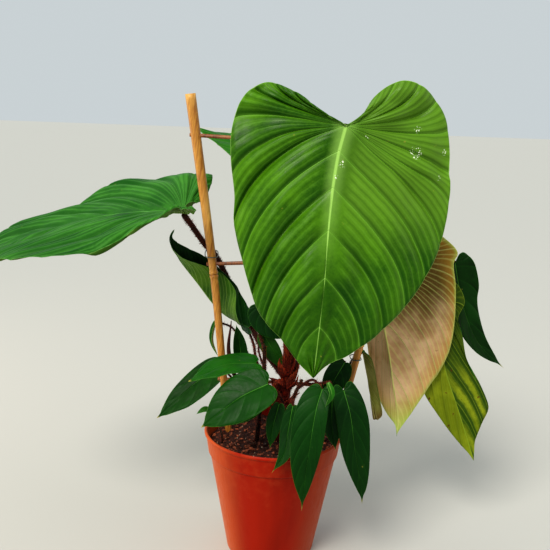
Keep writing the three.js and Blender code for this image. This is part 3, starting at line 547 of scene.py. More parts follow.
def rod(line, shares, radii, sides, dome=0.5, out_of_round=None):
    """A closed rod along a line: points, faces, and how far along the rod each point is."""
    centres, headings = line.at(shares), line.heading(shares)
    normals, crosses = carried_frames(headings)
    radii = np.broadcast_to(radii, len(shares)).astype(float)
    if dome:
        lift = np.array([0.35, 0.7, 0.92]) * dome
        caps = [(1 - lift**2 / dome**2 * 0.8) ** 0.5, lift]
        centres = np.concatenate([centres, centres[-1] + np.outer(caps[1] * radii[-1], headings[-1])])
        normals = np.concatenate([normals, np.repeat(normals[-1:], 3, 0)])
        crosses = np.concatenate([crosses, np.repeat(crosses[-1:], 3, 0)])
        radii = np.concatenate([radii, caps[0] * radii[-1]])
    width = radii[:, None] * np.ones(sides)
    if out_of_round is not None:
        angles = 2 * np.pi * np.arange(sides) / sides
        width = width * out_of_round(np.arange(len(radii))[:, None] / len(radii), angles[None, :])
    cosines, sines = circle(sides).T[..., None]
    spread = normals[:, None] * cosines + crosses[:, None] * sines
    points = (centres[:, None] + spread * width[..., None]).reshape(-1, 3)
    rings = len(radii)
    faces = tube_faces(rings, sides)
    faces.append(tuple(range(sides))[::-1])
    faces.append(tuple((rings - 1) * sides + i for i in range(sides)))
    share = np.repeat(np.arange(rings) / (rings - 1), sides)
    return points, faces, share


def height_share(line, height):
    """The share of a rising line at which it reaches a height."""
    shares = np.linspace(0, 1, 400)
    return float(np.interp(height, line.at(shares)[:, 2], shares))


def measured(tree, name):
    """A number that the mesh holds on each of its points."""
    return add(tree, "Attribute", {}, "Fac", attribute_name=name)


def cane_finish(name, tone, pale, dark):
    """Dry split-grained wood: streaks along it, pale blotches, and dark rings at the joints."""
    finish, tree, shader = new_finish(name, 0.42, Specular_IOR_Level=0.5)
    lean = add(tree, "Mapping", {0: place_on(tree), 2: (0, -0.14, 0)})
    fibres = clouds(tree, 420, 4, lean, (1, 1, 0.035), 0.65)
    blotches = clouds(tree, 22, 4, lean, (1, 1, 0.4))
    base = tint(tree, paint(*dark), tone, fibres, 0.3, 0.72)
    base = tint(tree, base, pale, blotches, 0.45, 0.75)
    base = mixed(tree, times(tree, measured(tree, "joint"), 0.75), base, paint(*dark))
    coat(tree, shader, base, between(tree, fibres, 0.2, 0.8, 0.32, 0.55))
    relief(tree, shader, fibres, 0.00025, 0.7)
    return finish


cane_skin = cane_finish("dry_bamboo", CANE_TONE, CANE_PALE, CANE_DARK)
for cane in CANES:
    line = SmoothLine(cane["points"])
    joints = [height_share(line, height) for height in cane["joints"]]
    shares = np.linspace(0, 1, CANE_RINGS)
    for joint in joints:
        near = joint + np.linspace(-JOINT_REACH, JOINT_REACH, 25) / line.length
        shares = np.sort(np.concatenate([shares, near]))
    away = np.min([np.abs(shares - joint) * line.length for joint in joints], axis=0)
    radii = along(cane["radii"], shares)
    radii += JOINT_SWELL * np.exp(-((away - 2.2) ** 2) / 3.0) - JOINT_GROOVE * np.exp(-(away**2) / 0.5)
    radii -= 0.25 * np.exp(-((away - 6) ** 2) / 4)

    def oval(share, angle):
        return 1 + 0.025 * np.cos(2 * angle + 5 * share) + 0.012 * np.cos(3 * angle - 9 * share)

    points, faces, _ = rod(line, shares, radii, CANE_SIDES, dome=0, out_of_round=oval)
    joint_shade = np.repeat(np.exp(-(away**2) / 1.6), CANE_SIDES)
    piece = new_piece(cane["name"], points, faces, [cane_skin], measures={"joint": joint_shade})
    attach(piece, "root")
    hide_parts(cane["node"])


# Rungs. Thin split sticks, rounded by hand and a little crooked, that pass through both canes and
# stand out past them.
RUNG_RADIUS = 2.25
RUNG_OVERHANG = 7
RUNG_SIDES = 20
RUNG_RINGS = 60
RUNGS = [
    ("top_rung", "rung_top", 506, 499),
    ("middle_rung", "rung_middle", 354, 371),
    ("low_rung", "rung_low", 208, 210),
]


def cane_place(cane, height):
    """Where a cane's middle is at a height, taken straight from point to point."""
    points = [np.array(point, float) for point in cane["points"]]
    for low, high in zip(points, points[1:]):
        if height <= high[2] or high is points[-1]:
            return low + (high - low) * (height - low[2]) / (high[2] - low[2])


rung_skin = cane_finish("split_stick", (152, 92, 48), (190, 134, 84), (96, 48, 24))
for piece_name, node, left, right in RUNGS:
    start, end = cane_place(CANES[0], left), cane_place(CANES[1], right)
    step = (end - start) / np.linalg.norm(end - start) * RUNG_OVERHANG
    start, end = start - step, end + step
    line = SmoothLine([start + (end - start) * share for share in (0, 0.33, 0.66, 1)])
    shares = np.linspace(0, 1, RUNG_RINGS)
    phase = left * 0.1

    def whittled(share, angle):
        flats = 0.035 * np.cos(3 * angle + phase + 2 * share) + 0.02 * np.cos(5 * angle)
        return 0.97 + flats + 0.025 * np.sin(19 * share + phase)

    points, faces, _ = rod(line, shares, RUNG_RADIUS, RUNG_SIDES, dome=0, out_of_round=whittled)
    piece = new_piece(piece_name, points, faces, [rung_skin], measures={"joint": np.zeros(len(points))})
    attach(piece, "root")
    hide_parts(node)


# Ties. Soft wire in grey green plastic, looped once round a cane and the stalk beside it. The
# twist that closes a real tie is left out.
TIE_RADIUS = 0.6
TIE_SIDES = 12
TIE_RINGS = 96
TIES = [
    ("left_tie", "tie_left", (-82, 23, 363), (-84.5, 55, 363), 7.4),
    ("right_tie", "tie_right", (96.8, 5, 246), (96, 16, 246), 6),
]
tie_finish, tree, shader = new_finish("plastic_wire", 0.38)
wear = clouds(tree, 300, 3)
coat(tree, shader, mixed(tree, wear, paint(58, 66, 60), paint(96, 104, 98)))
relief(tree, shader, clouds(tree, 1800, 2), 0.0001)
for piece_name, node, cane_middle, stalk_middle, reach in TIES:
    a, b = np.array(cane_middle, float), np.array(stalk_middle, float)
    out = (b - a) / np.linalg.norm(b - a)
    side = np.array([-out[1], out[0], 0])
    quarter = np.linspace(-math.pi / 2, math.pi / 2, 7)
    far = [b + reach * (out * math.cos(turn) + side * math.sin(turn)) for turn in quarter]
    near = [a - reach * (out * math.cos(turn) + side * math.sin(turn)) for turn in quarter]
    loop = SmoothLine(far + near, True)
    shares = np.arange(TIE_RINGS) / TIE_RINGS
    centres, headings = loop.at(shares), loop.heading(shares)
    normals = np.tile([0.0, 0.0, 1.0], (TIE_RINGS, 1))
    crosses = np.cross(headings, normals)
    cosines, sines = circle(TIE_SIDES).T[..., None]
    ring = normals[:, None] * cosines + crosses[:, None] * sines
    points = (centres[:, None] + ring * TIE_RADIUS).reshape(-1, 3)
    faces = tube_faces(TIE_RINGS, TIE_SIDES, closed=True)
    piece = new_piece(piece_name, points, faces, [tie_finish])
    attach(piece, "root")
    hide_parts(node)


# Front leaf. The biggest blade hangs on the ladder with its glossy upper side forward: a thin
# leathery heart, quilted between sunken pale veins, with a thick pale midrib and a fine margin.
VEIN_OUT = (0.42, 0.9)
VEIN_DOWN = (0.24, 0.53)
MIDRIB_GROOVE = 0.3
MARGIN_THINNING = 0.5
PLEAT_UNEVENNESS = 0.45
VEIN_RIDGE = 0.25
UNDERSIDE_DULLNESS = 0.5
THREADS_A_LANE = 4
BLEMISH = (150, 140, 60)
FLECK = (226, 232, 214)
AGE_SPOT = (84, 40, 12)
MEASURES = ("vein_mm", "rib_mm", "edge_mm", "lane", "down", "hand")


def outline(fan, rise, *edges):
    """The edge of each half blade as points across and down, the part of it that the veins from
    the base reach, and how the other veins' starts spread along the midrib."""
    return {"fan": fan, "rise": rise, "edges": edges}


FRONT_HEART = outline(
    0.57, 1.3,
    [(0, 0), (0.28, -0.04), (0.55, -0.085), (0.81, -0.087), (0.97, -0.01), (1, 0.09), (0.95, 0.2),
     (0.88, 0.31), (0.87, 0.4), (0.77, 0.54), (0.6, 0.74), (0.36, 0.855), (0.14, 0.95), (0, 1)],
    [(0, 0), (0.1, -0.05), (0.17, -0.14), (0.33, -0.22), (0.55, -0.22), (0.78, -0.14), (0.92, 0.01),
     (0.99, 0.2), (0.97, 0.4), (0.82, 0.59), (0.55, 0.765), (0.3, 0.885), (0.1, 0.95), (0, 1)],
)
FRONT_LEAF = dict(
    name="front_leaf", node="leaf_front", shape=FRONT_HEART, veins=14, width=(121, 136), thick=0.9,
    rib=1.6, fold=-5, roll=-8, quilt=(3.6, 2.6), crumple=10, wave=1.5,
    spine=[(66, -40, 525), (59, -45, 494), (54, -51, 454), (51, -60, 403), (49, -66, 346), (42, -70, 247)],
    face=[(0.05, -1, 0.2), (0, -1, 0.1)],
)


def on_side(value, side):
    """The value for the left (1) or the right (-1) half of a blade."""
    return value[0 if side > 0 else 1] if isinstance(value, (tuple, list)) else value


def blade_half(leaf, side, parts, shares):
    """The middle surface of half a blade: one line of points for each part of the way round the
    edge, running like the veins from the midrib (share 0) to the edge (share 1)."""
    shape, spine = leaf["shape"], SmoothLine(leaf["spine"])
    rim = SmoothLine(shape["edges"][0 if side > 0 else -1]).at(parts)
    start = np.maximum(0, (parts - shape["fan"]) / (1 - shape["fan"])) ** shape["rise"]
    part, share, start = parts[:, None], shares[None, :], start[:, None]
    first, second, third = 3 * share * (1 - share) ** 2, 3 * share**2 * (1 - share), share**3
    across = rim[:, :1] * (VEIN_OUT[0] * first + VEIN_OUT[1] * second + third)
    down = start + (rim[:, 1:] - start) * (VEIN_DOWN[0] * first + VEIN_DOWN[1] * second + third)
    down_spine = np.clip(down, 0, 1)
    heading = spine.heading(down_spine)
    faces = np.array(leaf["face"], float)
    face = faces[0] + (faces[-1] - faces[0]) * down_spine[..., None]
    face = face - heading * np.sum(face * heading, -1, keepdims=True)
    face /= np.linalg.norm(face, axis=-1, keepdims=True)
    left = np.cross(heading, face)
    half_width, fold, roll, quilt, wave = (
        on_side(leaf.get(fact, 0), side) for fact in ("width", "fold", "roll", "quilt", "wave")
    )
    fold = np.radians(along(fold, down_spine))
    roll = np.radians(along(roll, down_spine))
    roll = np.where(np.abs(roll) < 1e-6, 1e-4, roll)
    turn, scale = roll * across, half_width / roll
    out = scale * (np.sin(fold + turn) - np.sin(fold))
    up = scale * (np.cos(fold) - np.cos(fold + turn))
    # The blade rises between the veins, unevenly, and its edge waves
    gap = np.pi * part * leaf["veins"]
    cushion = 1.7 * np.abs(np.sin(gap)) ** 0.6 - 1 + 0.3 * np.abs(np.sin(2 * gap)) ** 0.7
    uneven = 1 + PLEAT_UNEVENNESS * np.sin(2.4 * np.floor(part * leaf["veins"]) + 1.3 + side)
    crumple = leaf.get("crumple", 0)
    if crumple:
        places = [(at * leaf["veins"] * 0.8, step * 3.2, 7.3 * side) for at in parts for step in shares]
        dents = np.array([noise.noise(Vector(place)) for place in places]).reshape(len(parts), -1)
        up = up + np.where(across > 0, crumple * dents * np.sqrt(share), 0)
    room = np.minimum(1, 1.6 * share + 6 * np.maximum(0, part - shape["fan"]))
    room = room * np.minimum(1, 7 * (1 - part))
    bulge = quilt * uneven * cushion * room * (2 * np.sqrt(share * (1 - share)) + 0.4 * share**3)
    flutter = wave * share**2 * np.sin(2 * np.pi * leaf.get("waves", 3) * part + side)
    up = up + np.where(across > 0, bulge + flutter, 0)
    points = spine.at(down_spine) + heading * (np.minimum(0, down) * spine.length)[..., None]
    return points + left * (side * out)[..., None] + face * up[..., None], down_spine


def travelled(net, axis):
    """How far each point of a net of points lies from the net's start, row by row."""
    steps = np.linalg.norm(np.diff(net, axis=axis), axis=2)
    return np.insert(np.cumsum(steps, axis), 0, 0, axis)


def blade(leaf, finishes, fine=8, columns=20):
    """A leaf blade as a closed thin shell, with the distances in millimetres from each point to
    the nearest vein, to the midrib and to the edge, which its finish needs."""
    rows = leaf["veins"] * fine
    thick, rib = leaf.get("thick", 0.7), leaf.get("rib", 0)
    parts = np.arange(rows + 1) / rows
    rib_share = 1.6 * max(rib, 0.6) / on_side(leaf["width"], 1)
    beyond_rib = 1 + (1 / rib_share - 1) * np.linspace(0, 1, columns)
    shares = np.concatenate([[0, 0.3, 0.6], beyond_rib]) * rib_share
    count = len(shares)
    points, values = [], []
    for side in (1, -1):
        half, down = blade_half(leaf, side, parts, shares)
        from_rib, from_base = travelled(half, 1), travelled(half, 0)
        to_vein = np.full((rows + 1, count), 99.0)
        for vein in range(fine, rows, fine):
            to_vein = np.minimum(to_vein, np.abs(from_base - from_base[vein]))
        lane = np.repeat(parts * leaf["veins"], count)
        to_edge = from_rib[:, -1:] - from_rib
        points.append(half.reshape(-1, 3))
        row = (to_vein, from_rib, to_edge, lane, down, side * from_rib)
        values.append([np.ravel(some) for some in row])
    points = np.concatenate(points)
    # The two halves share the midrib's points, and each end of the blade is one point
    _, keep, joined = np.unique(np.round(points, 4), axis=0, return_index=True, return_inverse=True)
    joined = joined.ravel()
    points = points[keep]
    measures = {key: np.concatenate(halves)[keep] for key, halves in zip(MEASURES, zip(*values))}
    faces = []
    for half, side in enumerate((1, -1)):
        net = joined[half * (rows + 1) * count :][: (rows + 1) * count].reshape(rows + 1, count)
        a, b, c, d = net[:-1, :-1], net[:-1, 1:], net[1:, 1:], net[1:, :-1]
        turns = (a, b, c, d) if side > 0 else (a, d, c, b)
        for corners in np.stack([turn.ravel() for turn in turns], 1).tolist():
            ring = [p for k, p in enumerate(corners) if p != corners[k - 1]]
            if len(set(ring)) == len(ring) > 2:
                faces.append(ring)
    normals = np.zeros_like(points)
    for ring in faces:
        corners = points[ring]
        last = corners[-1] - corners[1] if len(ring) > 3 else corners[2] - corners[1]
        normals[ring] += np.cross(corners[2] - corners[0], last)
    normals /= np.maximum(np.linalg.norm(normals, axis=1, keepdims=True), 1e-9)
    from_vein, from_rib, to_edge, _, down, _ = measures.values()
    half_thick = thick / 2 * (1 - MARGIN_THINNING * np.exp(-to_edge / 1.5))
    groove = MIDRIB_GROOVE * np.exp(-((from_rib / 1.1) ** 2))
    beam = rib * np.sqrt(np.maximum(0, 1 - down))
    beam = beam * np.sqrt(np.maximum(0, 1 - (from_rib / (1.6 * rib + 0.01)) ** 2))
    ridge = VEIN_RIDGE * (rib > 0) * np.exp(-((from_vein / 1.2) ** 2)) * (1 - np.exp(-to_edge / 12))
    upper = points + normals * (half_thick - groove)[:, None]
    lower = points - normals * (half_thick + np.maximum(beam, ridge))[:, None]
    total = len(points)
    shell = faces + [[total + p for p in reversed(ring)] for ring in faces]
    finish_of_face = [0] * len(faces) + [1] * len(faces)
    open_edges = {}
    for ring in faces:
        for p, q in zip(ring, ring[1:] + ring[:1]):
            if (q, p) in open_edges:
                del open_edges[(q, p)]
            else:
                open_edges[(p, q)] = True
    for p, q in open_edges:
        shell.append([q, p, total + p, total + q])
        finish_of_face.append(0)
    both = {key: np.concatenate([values, values]) for key, values in measures.items()}
    both_sides = np.concatenate([upper, lower])
    piece = new_piece(leaf["name"], both_sides, shell, finishes, finish_of_face, both)
    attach(piece, "root")
    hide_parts(leaf["node"])


def upper_skin(name, deep, light, vein, rib, gloss=0.4, vein_show=0.5, rib_width=1.6, rib_glow=0.0,
               glow_mm=14, threads=0.14, emboss=0.8, painted_sunlight=None, flecks_at=(), tip=None):
    """The leathery upper side: green that varies in clouds, painted shade and light across each pleat,
    thin pale veins in the grooves, a pale midrib and a fine pale margin."""
    finish, tree, shader = new_finish(name, gloss, Specular_IOR_Level=0.12)
    to_vein, to_rib = measured(tree, "vein_mm"), measured(tree, "rib_mm")
    to_edge, lane, down = measured(tree, "edge_mm"), measured(tree, "lane"), measured(tree, "down")
    broad = clouds(tree, 14, 3)
    mottle = clouds(tree, 260, 5, roughness=0.7)
    patchy = plus(tree, times(tree, broad, 0.75), times(tree, mottle, 0.25))
    tone = mixed(tree, between(tree, patchy, 0.3, 0.7), paint(*deep), paint(*light))
    tone = tint(tree, tone, deep, down, 0.35, 0.75, 0.0, 0.4)
    # Painted shade darkens each pleat just before the next vein, and painted light brightens it just after
    # a vein
    pleat = reckon(tree, "FRACT", lane)
    open_part = times(tree, between(tree, to_rib, 4, 30), between(tree, down, 0.84, 0.97, 1.0, 0.0))
    painted_pleat_shade = times(tree, between(tree, pleat, 0.5, 1.0, 0.0, 0.65), open_part)
    tone = mixed(tree, painted_pleat_shade, tone, paint(*deep))
    painted_pleat_light = times(tree, between(tree, pleat, 0.02, 0.5, 0.3, 0.0), open_part)
    tone = mixed(tree, painted_pleat_light, tone, paint(*light))
    # Painted light: the right half is lightened towards its base end
    if painted_sunlight:
        painted_sun_patch = times(tree, between(tree, down, 0.2, 0.56, 0.62, 0.0),
                         between(tree, measured(tree, "hand"), -34, 6, 1.0, 0.0))
        tone = mixed(tree, painted_sun_patch, tone, paint(*painted_sunlight))
    wander = times(tree, clouds(tree, 60, 2), 2.2)
    fine = reckon(tree, "SINE", plus(tree, times(tree, lane, 2 * math.pi * THREADS_A_LANE), wander))
    fine = times(tree, fine, open_part)
    for colour, value, *span in (
        (vein, fine, 0.5, 1.0, 0.0, threads),
        (deep, fine, -1.0, -0.3, 2 * threads, 0.0),
        (vein, to_vein, 0.3, 4.0, 0.3 * vein_show, 0.0),
        (vein, to_vein, 0.2, 0.8, vein_show, 0.0),
    ):
        tone = tint(tree, tone, colour, value, *span)
    near_rib = between(tree, to_rib, 1.0, glow_mm, rib_glow, 0.0)
    near_rib = times(tree, near_rib, between(tree, down, 0.12, 0.62, 1.0, 0.0))
    tone = mixed(tree, near_rib, tone, paint(*rib))
    rib_edge = times(tree, between(tree, down, 0.2, 0.55, 1.0, 0.35), rib_width)
    reach = reckon(tree, "DIVIDE", to_rib, rib_edge)
    on_rib = times(tree, between(tree, reach, 0.35, 1.2, 0.9, 0.0), between(tree, down, 0.3, 0.8, 1.0, 0.6))
    tone = mixed(tree, on_rib, tone, paint(*rib))
    tone = tint(tree, tone, rib, to_edge, 0.2, 0.9, 0.6, 0.0)
    if tip:
        tone = tint(tree, tone, tip, down, 0.94, 0.99, 0.0, 0.75)
    tone = tint(tree, tone, BLEMISH, clouds(tree, 130, 2), 0.74, 0.8, 0.0, 0.5)
    for spot, reach in flecks_at:
        away = add(tree, "VectorMath", {0: place_on(tree), 1: tuple(MM * value for value in spot)}, 1,
                   operation="DISTANCE")
        flaked = times(tree, between(tree, clouds(tree, 520, 1), 0.6, 0.63),
                       between(tree, away, 0.6 * MM * reach, MM * reach, 1, 0))
        tone = mixed(tree, flaked, tone, paint(*FLECK))
    waxy = plus(tree, mottle, times(tree, broad, 0.5))
    coat(tree, shader, tone, between(tree, waxy, 0.5, 1.0, gloss - 0.07, gloss + 0.13))
    veinlets = relief(tree, shader, between(tree, fine, -0.4, 1.0, 1.0, 0.0), 0.0003, 0.7 * emboss)
    pebbles = relief(tree, shader, clouds(tree, 1100, 3), 0.0001, 0.5, veinlets)
    relief(tree, shader, between(tree, to_vein, 0.0, 1.1), 0.0004, emboss, pebbles)
    return finish


def under_skin(name, deep, light, vein, stripe=0.2, band=None, bronze=None, bronze_down=0.0,
               green_tip=None, spots=0.0, rim=None):
    """The paler, duller underside, on which the veins stand up. An ageing one turns bronze at the
    base, keeps a green tip, and gets brown spots."""
    finish, tree, shader = new_finish(name, UNDERSIDE_DULLNESS, Specular_IOR_Level=0.12)
    to_vein, to_rib = measured(tree, "vein_mm"), measured(tree, "rib_mm")
    to_edge, lane, down = measured(tree, "edge_mm"), measured(tree, "lane"), measured(tree, "down")
    broad = clouds(tree, 24, 4)
    mottle = clouds(tree, 320, 4, roughness=0.7)
    tone = mixed(tree, between(tree, broad, 0.38, 0.62), paint(*deep), paint(*light))
    if bronze:
        place = plus(tree, down, times(tree, broad, 0.3))
        tone = tint(tree, tone, bronze, place, bronze_down, bronze_down + 0.3, 0.95, 0.0)
    if rim:
        tone = tint(tree, tone, rim, to_edge, 2.0, 34.0, 0.6, 0.0)
    if green_tip:
        tone = tint(tree, tone, green_tip, down, 0.74, 0.97, 0.0, 0.8)
        tone = tint(tree, tone, green_tip, to_edge, 0.0, 7.0, 0.6, 0.0)
    wander = times(tree, clouds(tree, 60, 2), 2.5)
    if band:
        wide = reckon(tree, "SINE", plus(tree, times(tree, lane, 2 * math.pi), wander))
        ragged = plus(tree, wide, times(tree, reckon(tree, "SUBTRACT", mottle, 0.5), 1.6))
        # Painted shade: the dark band colour is held mostly to the left half and laid solid over that
        # half's base end; elsewhere it makes the leaf's own stripes
        painted_shade_side = between(tree, measured(tree, "hand"), -2.0, 2.0, 0.1, 0.9)
        at_base = between(tree, down, 0.35, 0.6, 0.9, 0.0)
        stripes_and_painted_shade = reckon(tree, "MAXIMUM", between(tree, ragged, -1.3, 0.5), at_base)
        stripes_and_painted_shade = times(tree, stripes_and_painted_shade, painted_shade_side)
        tone = mixed(tree, stripes_and_painted_shade, tone, paint(*band))
    tone = tint(tree, tone, deep, mottle, 0.48, 0.8, 0.0, 0.3)
    fine = reckon(tree, "SINE", plus(tree, times(tree, lane, 2 * math.pi * THREADS_A_LANE), wander))
    tone = tint(tree, tone, vein, fine, 0.3, 1.0, 0.0, stripe)
    on_vein = times(tree, between(tree, to_vein, 0.3, 1.0, 0.65, 0.0),
                    between(tree, to_rib, 10, 60, 1.0, 0.6))
    tone = mixed(tree, on_vein, tone, paint(*vein))
    tone = tint(tree, tone, vein, to_rib, 1.0, 2.2, 0.85, 0.0)
    tone = tint(tree, tone, vein, to_edge, 0.3, 1.2, 0.5, 0.0)
    if spots:
        tone = tint(tree, tone, AGE_SPOT, clouds(tree, 95, 3), 0.68, 0.74, 0.0, spots)
    dulled = between(tree, mottle, 0.3, 0.7, UNDERSIDE_DULLNESS - 0.08, UNDERSIDE_DULLNESS + 0.12)
    coat(tree, shader, tone, dulled)
    net = add(tree, "TexVoronoi", {"Scale": 900.0}, feature="DISTANCE_TO_EDGE")
    netted = relief(tree, shader, net, 0.0002, 0.5)
    veinlets = relief(tree, shader, between(tree, fine, 0.2, 1.0), 0.0003, 0.6, netted)
    relief(tree, shader, between(tree, to_vein, 0.2, 1.4, 1.0, 0.0), 0.0006, 0.8, veinlets)
    return finish


front_upper = upper_skin(
    "front_leaf_upper", (18, 64, 2), (80, 130, 16), (116, 172, 58), (158, 202, 102), gloss=0.34,
    rib_width=2.5, rib_glow=0.42, glow_mm=18, painted_sunlight=(102, 143, 42),
    flecks_at=[((145, -32, 498), 9), ((146, -29, 523), 5), ((64, -46, 484), 5), ((178, -21, 499), 4),
               ((172, -31, 472), 4), ((90, -40, 514), 3), ((58, -49, 471), 3)],
)
green_under = under_skin("green_underside", (64, 104, 28), (92, 130, 48), (128, 156, 84))
blade(FRONT_LEAF, [front_upper, green_under], fine=12, columns=38)


# Left leaf and the one behind. The left blade lies level on its long stalk and is seen almost
# edge on, glossy above; a smaller one shows over the top of the ladder.
HEART = outline(
    0.55, 1.6,
    [(0, 0), (0.14, -0.07), (0.36, -0.15), (0.62, -0.17), (0.88, -0.08), (1, 0.12), (0.98, 0.3),
     (0.85, 0.52), (0.62, 0.72), (0.32, 0.87), (0.08, 0.945), (0, 1)],
)
LEVEL_HEART = outline(
    0.5, 2,
    [(0, 0), (0.12, -0.03), (0.4, -0.08), (0.74, -0.09), (0.94, -0.02), (1, 0.14), (0.98, 0.3),
     (0.87, 0.5), (0.64, 0.72), (0.36, 0.87), (0.12, 0.955), (0, 1)],
    [(0, 0), (0.1, -0.03), (0.28, -0.06), (0.5, -0.03), (0.72, 0.08), (0.92, 0.25), (1, 0.42),
     (0.9, 0.6), (0.66, 0.76), (0.36, 0.88), (0.12, 0.955), (0, 1)],
)
LEFT_LEAF = dict(
    name="left_leaf", node="leaf_left", shape=LEVEL_HEART, veins=13, width=112, thick=0.9, rib=1.6,
    fold=([20, 9, 6, 3, 4, 2], [19, 6, -1, -3, -1, 1, 3, 4, 4, 2, 0]), roll=[-2, -6], quilt=2.6,
    crumple=6, wave=(6, 2), waves=4,
    spine=[(-115, 20, 416), (-157, 20, 415), (-205, 20, 409), (-270, 20, 391), (-330, 18, 366),
           (-389, 15, 330)],
    face=[(0, -0.09, 1), (-0.2, -0.14, 1)],
)
BEHIND_LEAF = dict(
    name="leaf_over_the_ladder", node="leaf_behind", shape=HEART, veins=10, width=58, fold=[0, -6],
    roll=-6, quilt=0.8, wave=2, spine=[(55, 60, 452), (-29, 75, 487), (-107, 85, 511)],
    face=[(-0.2, -0.12, 1), (-0.2, -0.2, 1)],
)
left_upper = upper_skin("left_leaf_upper", (16, 76, 10), (68, 134, 44), (96, 160, 74), (106, 170, 84),
                        gloss=0.45, vein_show=0.3, threads=0.2)
blade(LEFT_LEAF, [left_upper, green_under], fine=12, columns=32)
behind_upper = upper_skin("behind_leaf_upper", (30, 92, 12), (58, 128, 30), (96, 156, 62), (128, 180, 90))
blade(BEHIND_LEAF, [behind_upper, green_under], fine=10, columns=24)


# Leaves that show their underside. The tan one has turned over on the right and ages to bronze at
# the top, the long striped one hangs beside it, one seen edge on ends blunt and withered, and small
# young ones are still half rolled.
CORNERED_HEART = outline(
    0.66, 1.7,
    [(0, 0), (0.14, -0.07), (0.36, -0.15), (0.62, -0.15), (0.9, -0.06), (1.06, 0.05), (0.99, 0.1),
     (0.97, 0.22), (0.93, 0.34), (0.84, 0.5), (0.7, 0.63), (0.4, 0.78), (0.17, 0.885), (0.05, 0.95),
     (0, 1)],
    HEART["edges"][0],
)
BULGED_HEART = outline(
    0.45, 2.2,
    [(0, 0), (0.3, -0.08), (0.72, -0.07), (0.9, 0.03), (0.62, 0.14), (0.72, 0.24), (0.74, 0.38),
     (0.86, 0.56), (1, 0.7), (0.56, 0.81), (0.22, 0.89), (0.1, 0.95), (0, 1)],
    [(0, 0), (0.3, -0.06), (0.7, 0.02), (0.98, 0.25), (1, 0.5), (0.82, 0.64), (0.55, 0.78), (0.3, 0.88),
     (0.1, 0.95), (0, 1)],
)
LANCE = outline(
    0.35, 1.6,
    [(0, 0), (0.34, -0.03), (0.72, 0.04), (0.95, 0.18), (1, 0.38), (0.84, 0.58), (0.52, 0.76),
     (0.2, 0.88), (0.05, 0.935), (0, 1)],
)
TAN_LEAF = dict(
    name="tan_leaf", node="leaf_tan", shape=CORNERED_HEART, veins=12, width=(98, 46), thick=0.8,
    rib=1.2, fold=(0, [62, 62, 56, 42, 20]), roll=[-4, 10], quilt=0.9, wave=2,
    spine=[(111, 26, 362), (126, 30, 302), (139, 31, 251), (148, 30, 205), (157, 28, 158), (156, 26, 139)],
    face=[(-0.1, 1, 0.2), (-0.15, 1, 0)],
)
STRIPED_LEAF = dict(
    name="striped_leaf", node="leaf_striped", shape=BULGED_HEART, veins=9, width=(40, 34), fold=4,
    roll=4, quilt=0.8, wave=0.8,
    spine=[(197, 48, 312), (214, 47, 226), (236, 45, 168), (261, 42, 101)],
    face=[(0, 1, 0), (-0.1, 1, 0.1)],
)
TORN = outline(
    0.35, 1.6,
    [(0, 0), (0.34, -0.03), (0.72, 0.04), (0.95, 0.18), (1, 0.38), (0.94, 0.6), (0.86, 0.8),
     (0.74, 0.92), (0.46, 0.985), (0.2, 0.998), (0, 1)],
)
ROLLED_LEAVES = [
    dict(name="edge_on_leaf", node="leaf_edge_on", under="withered", shape=TORN, veins=7, width=15,
         fold=25, roll=10, crumple=3, wave=1, spine=[(106, 20, 249), (116, 20, 208), (126, 18, 163)],
         face=[(1, 0.1, 0.3), (0.8, 0.6, 0.2)]),
    dict(name="curl_in_front", node="leaf_curl", veins=6, width=4, fold=15, roll=15,
         spine=[(57, -92, 250), (61, -95, 239), (55, -94, 222)],
         face=[(0.6, -1, 0.2), (0.6, -1, 0.1)]),
    dict(name="curl_on_the_left", node="leaf_curled_left", veins=6, width=6, fold=30, roll=20,
         spine=[(-77, 45, 275), (-80, 45, 251), (-73, 45, 228)], face=[(-1, -0.4, 0), (-1, -0.4, 0)]),
]
plain_upper = upper_skin("plain_upper", (16, 74, 6), (38, 102, 18), (70, 130, 44), (104, 152, 70))
tan_under = under_skin(
    "tan_underside", (186, 146, 104), (216, 180, 140), (204, 208, 124),
    stripe=0.3, bronze=(92, 72, 8), bronze_down=0.36, green_tip=(158, 188, 88), spots=0.45,
    rim=(176, 134, 50),
)
blade(TAN_LEAF, [plain_upper, tan_under], fine=12, columns=32)
striped_under = under_skin(
    "striped_underside", (104, 118, 10), (134, 146, 26), (128, 150, 40),
    stripe=0.2, band=(26, 62, 4), spots=0.9,
)
blade(STRIPED_LEAF, [plain_upper, striped_under], fine=12, columns=24)
young_under = under_skin("young_underside", (112, 126, 44), (158, 164, 84), (184, 192, 120))
withered_under = under_skin(
    "withered_underside", (108, 116, 44), (150, 152, 84), (172, 172, 110), green_tip=(96, 66, 30),
    spots=0.9,
)
for leaf in ROLLED_LEAVES:
    under = withered_under if leaf.get("under") == "withered" else young_under
    blade({"shape": LANCE, **leaf}, [plain_upper, under], columns=12)


# Folded leaf. Low on the left a blade is folded up along its midrib, so that one half shows its
# olive underside to the front and the dark upper side looks up from the fold.
FOLDED_LEAF = dict(
    name="folded_leaf", node="leaf_folded", shape=LANCE, veins=9, width=(38, 46),
    fold=([5, 25, 52, 64, 62, 55, 40], [20, 45, 72, 80, 62, 30, 10]), roll=8, quilt=0.7, wave=1,
    spine=[(-37, 62, 264), (-71, 60, 283), (-103, 58, 322), (-127, 57, 354), (-136, 56, 378),
           (-131, 55, 389)],
    face=[(0.7, -0.35, 0.65), (0.9, -0.35, 0.1)],
)
folded_upper = upper_skin("folded_leaf_upper", (4, 50, 2), (20, 82, 8), (44, 108, 30), (88, 140, 70),
                          vein_show=0.3)
folded_under = under_skin("folded_leaf_underside", (48, 92, 12), (82, 122, 28), (120, 156, 66), stripe=0.35)
blade(FOLDED_LEAF, [folded_upper, folded_under], fine=12, columns=24)
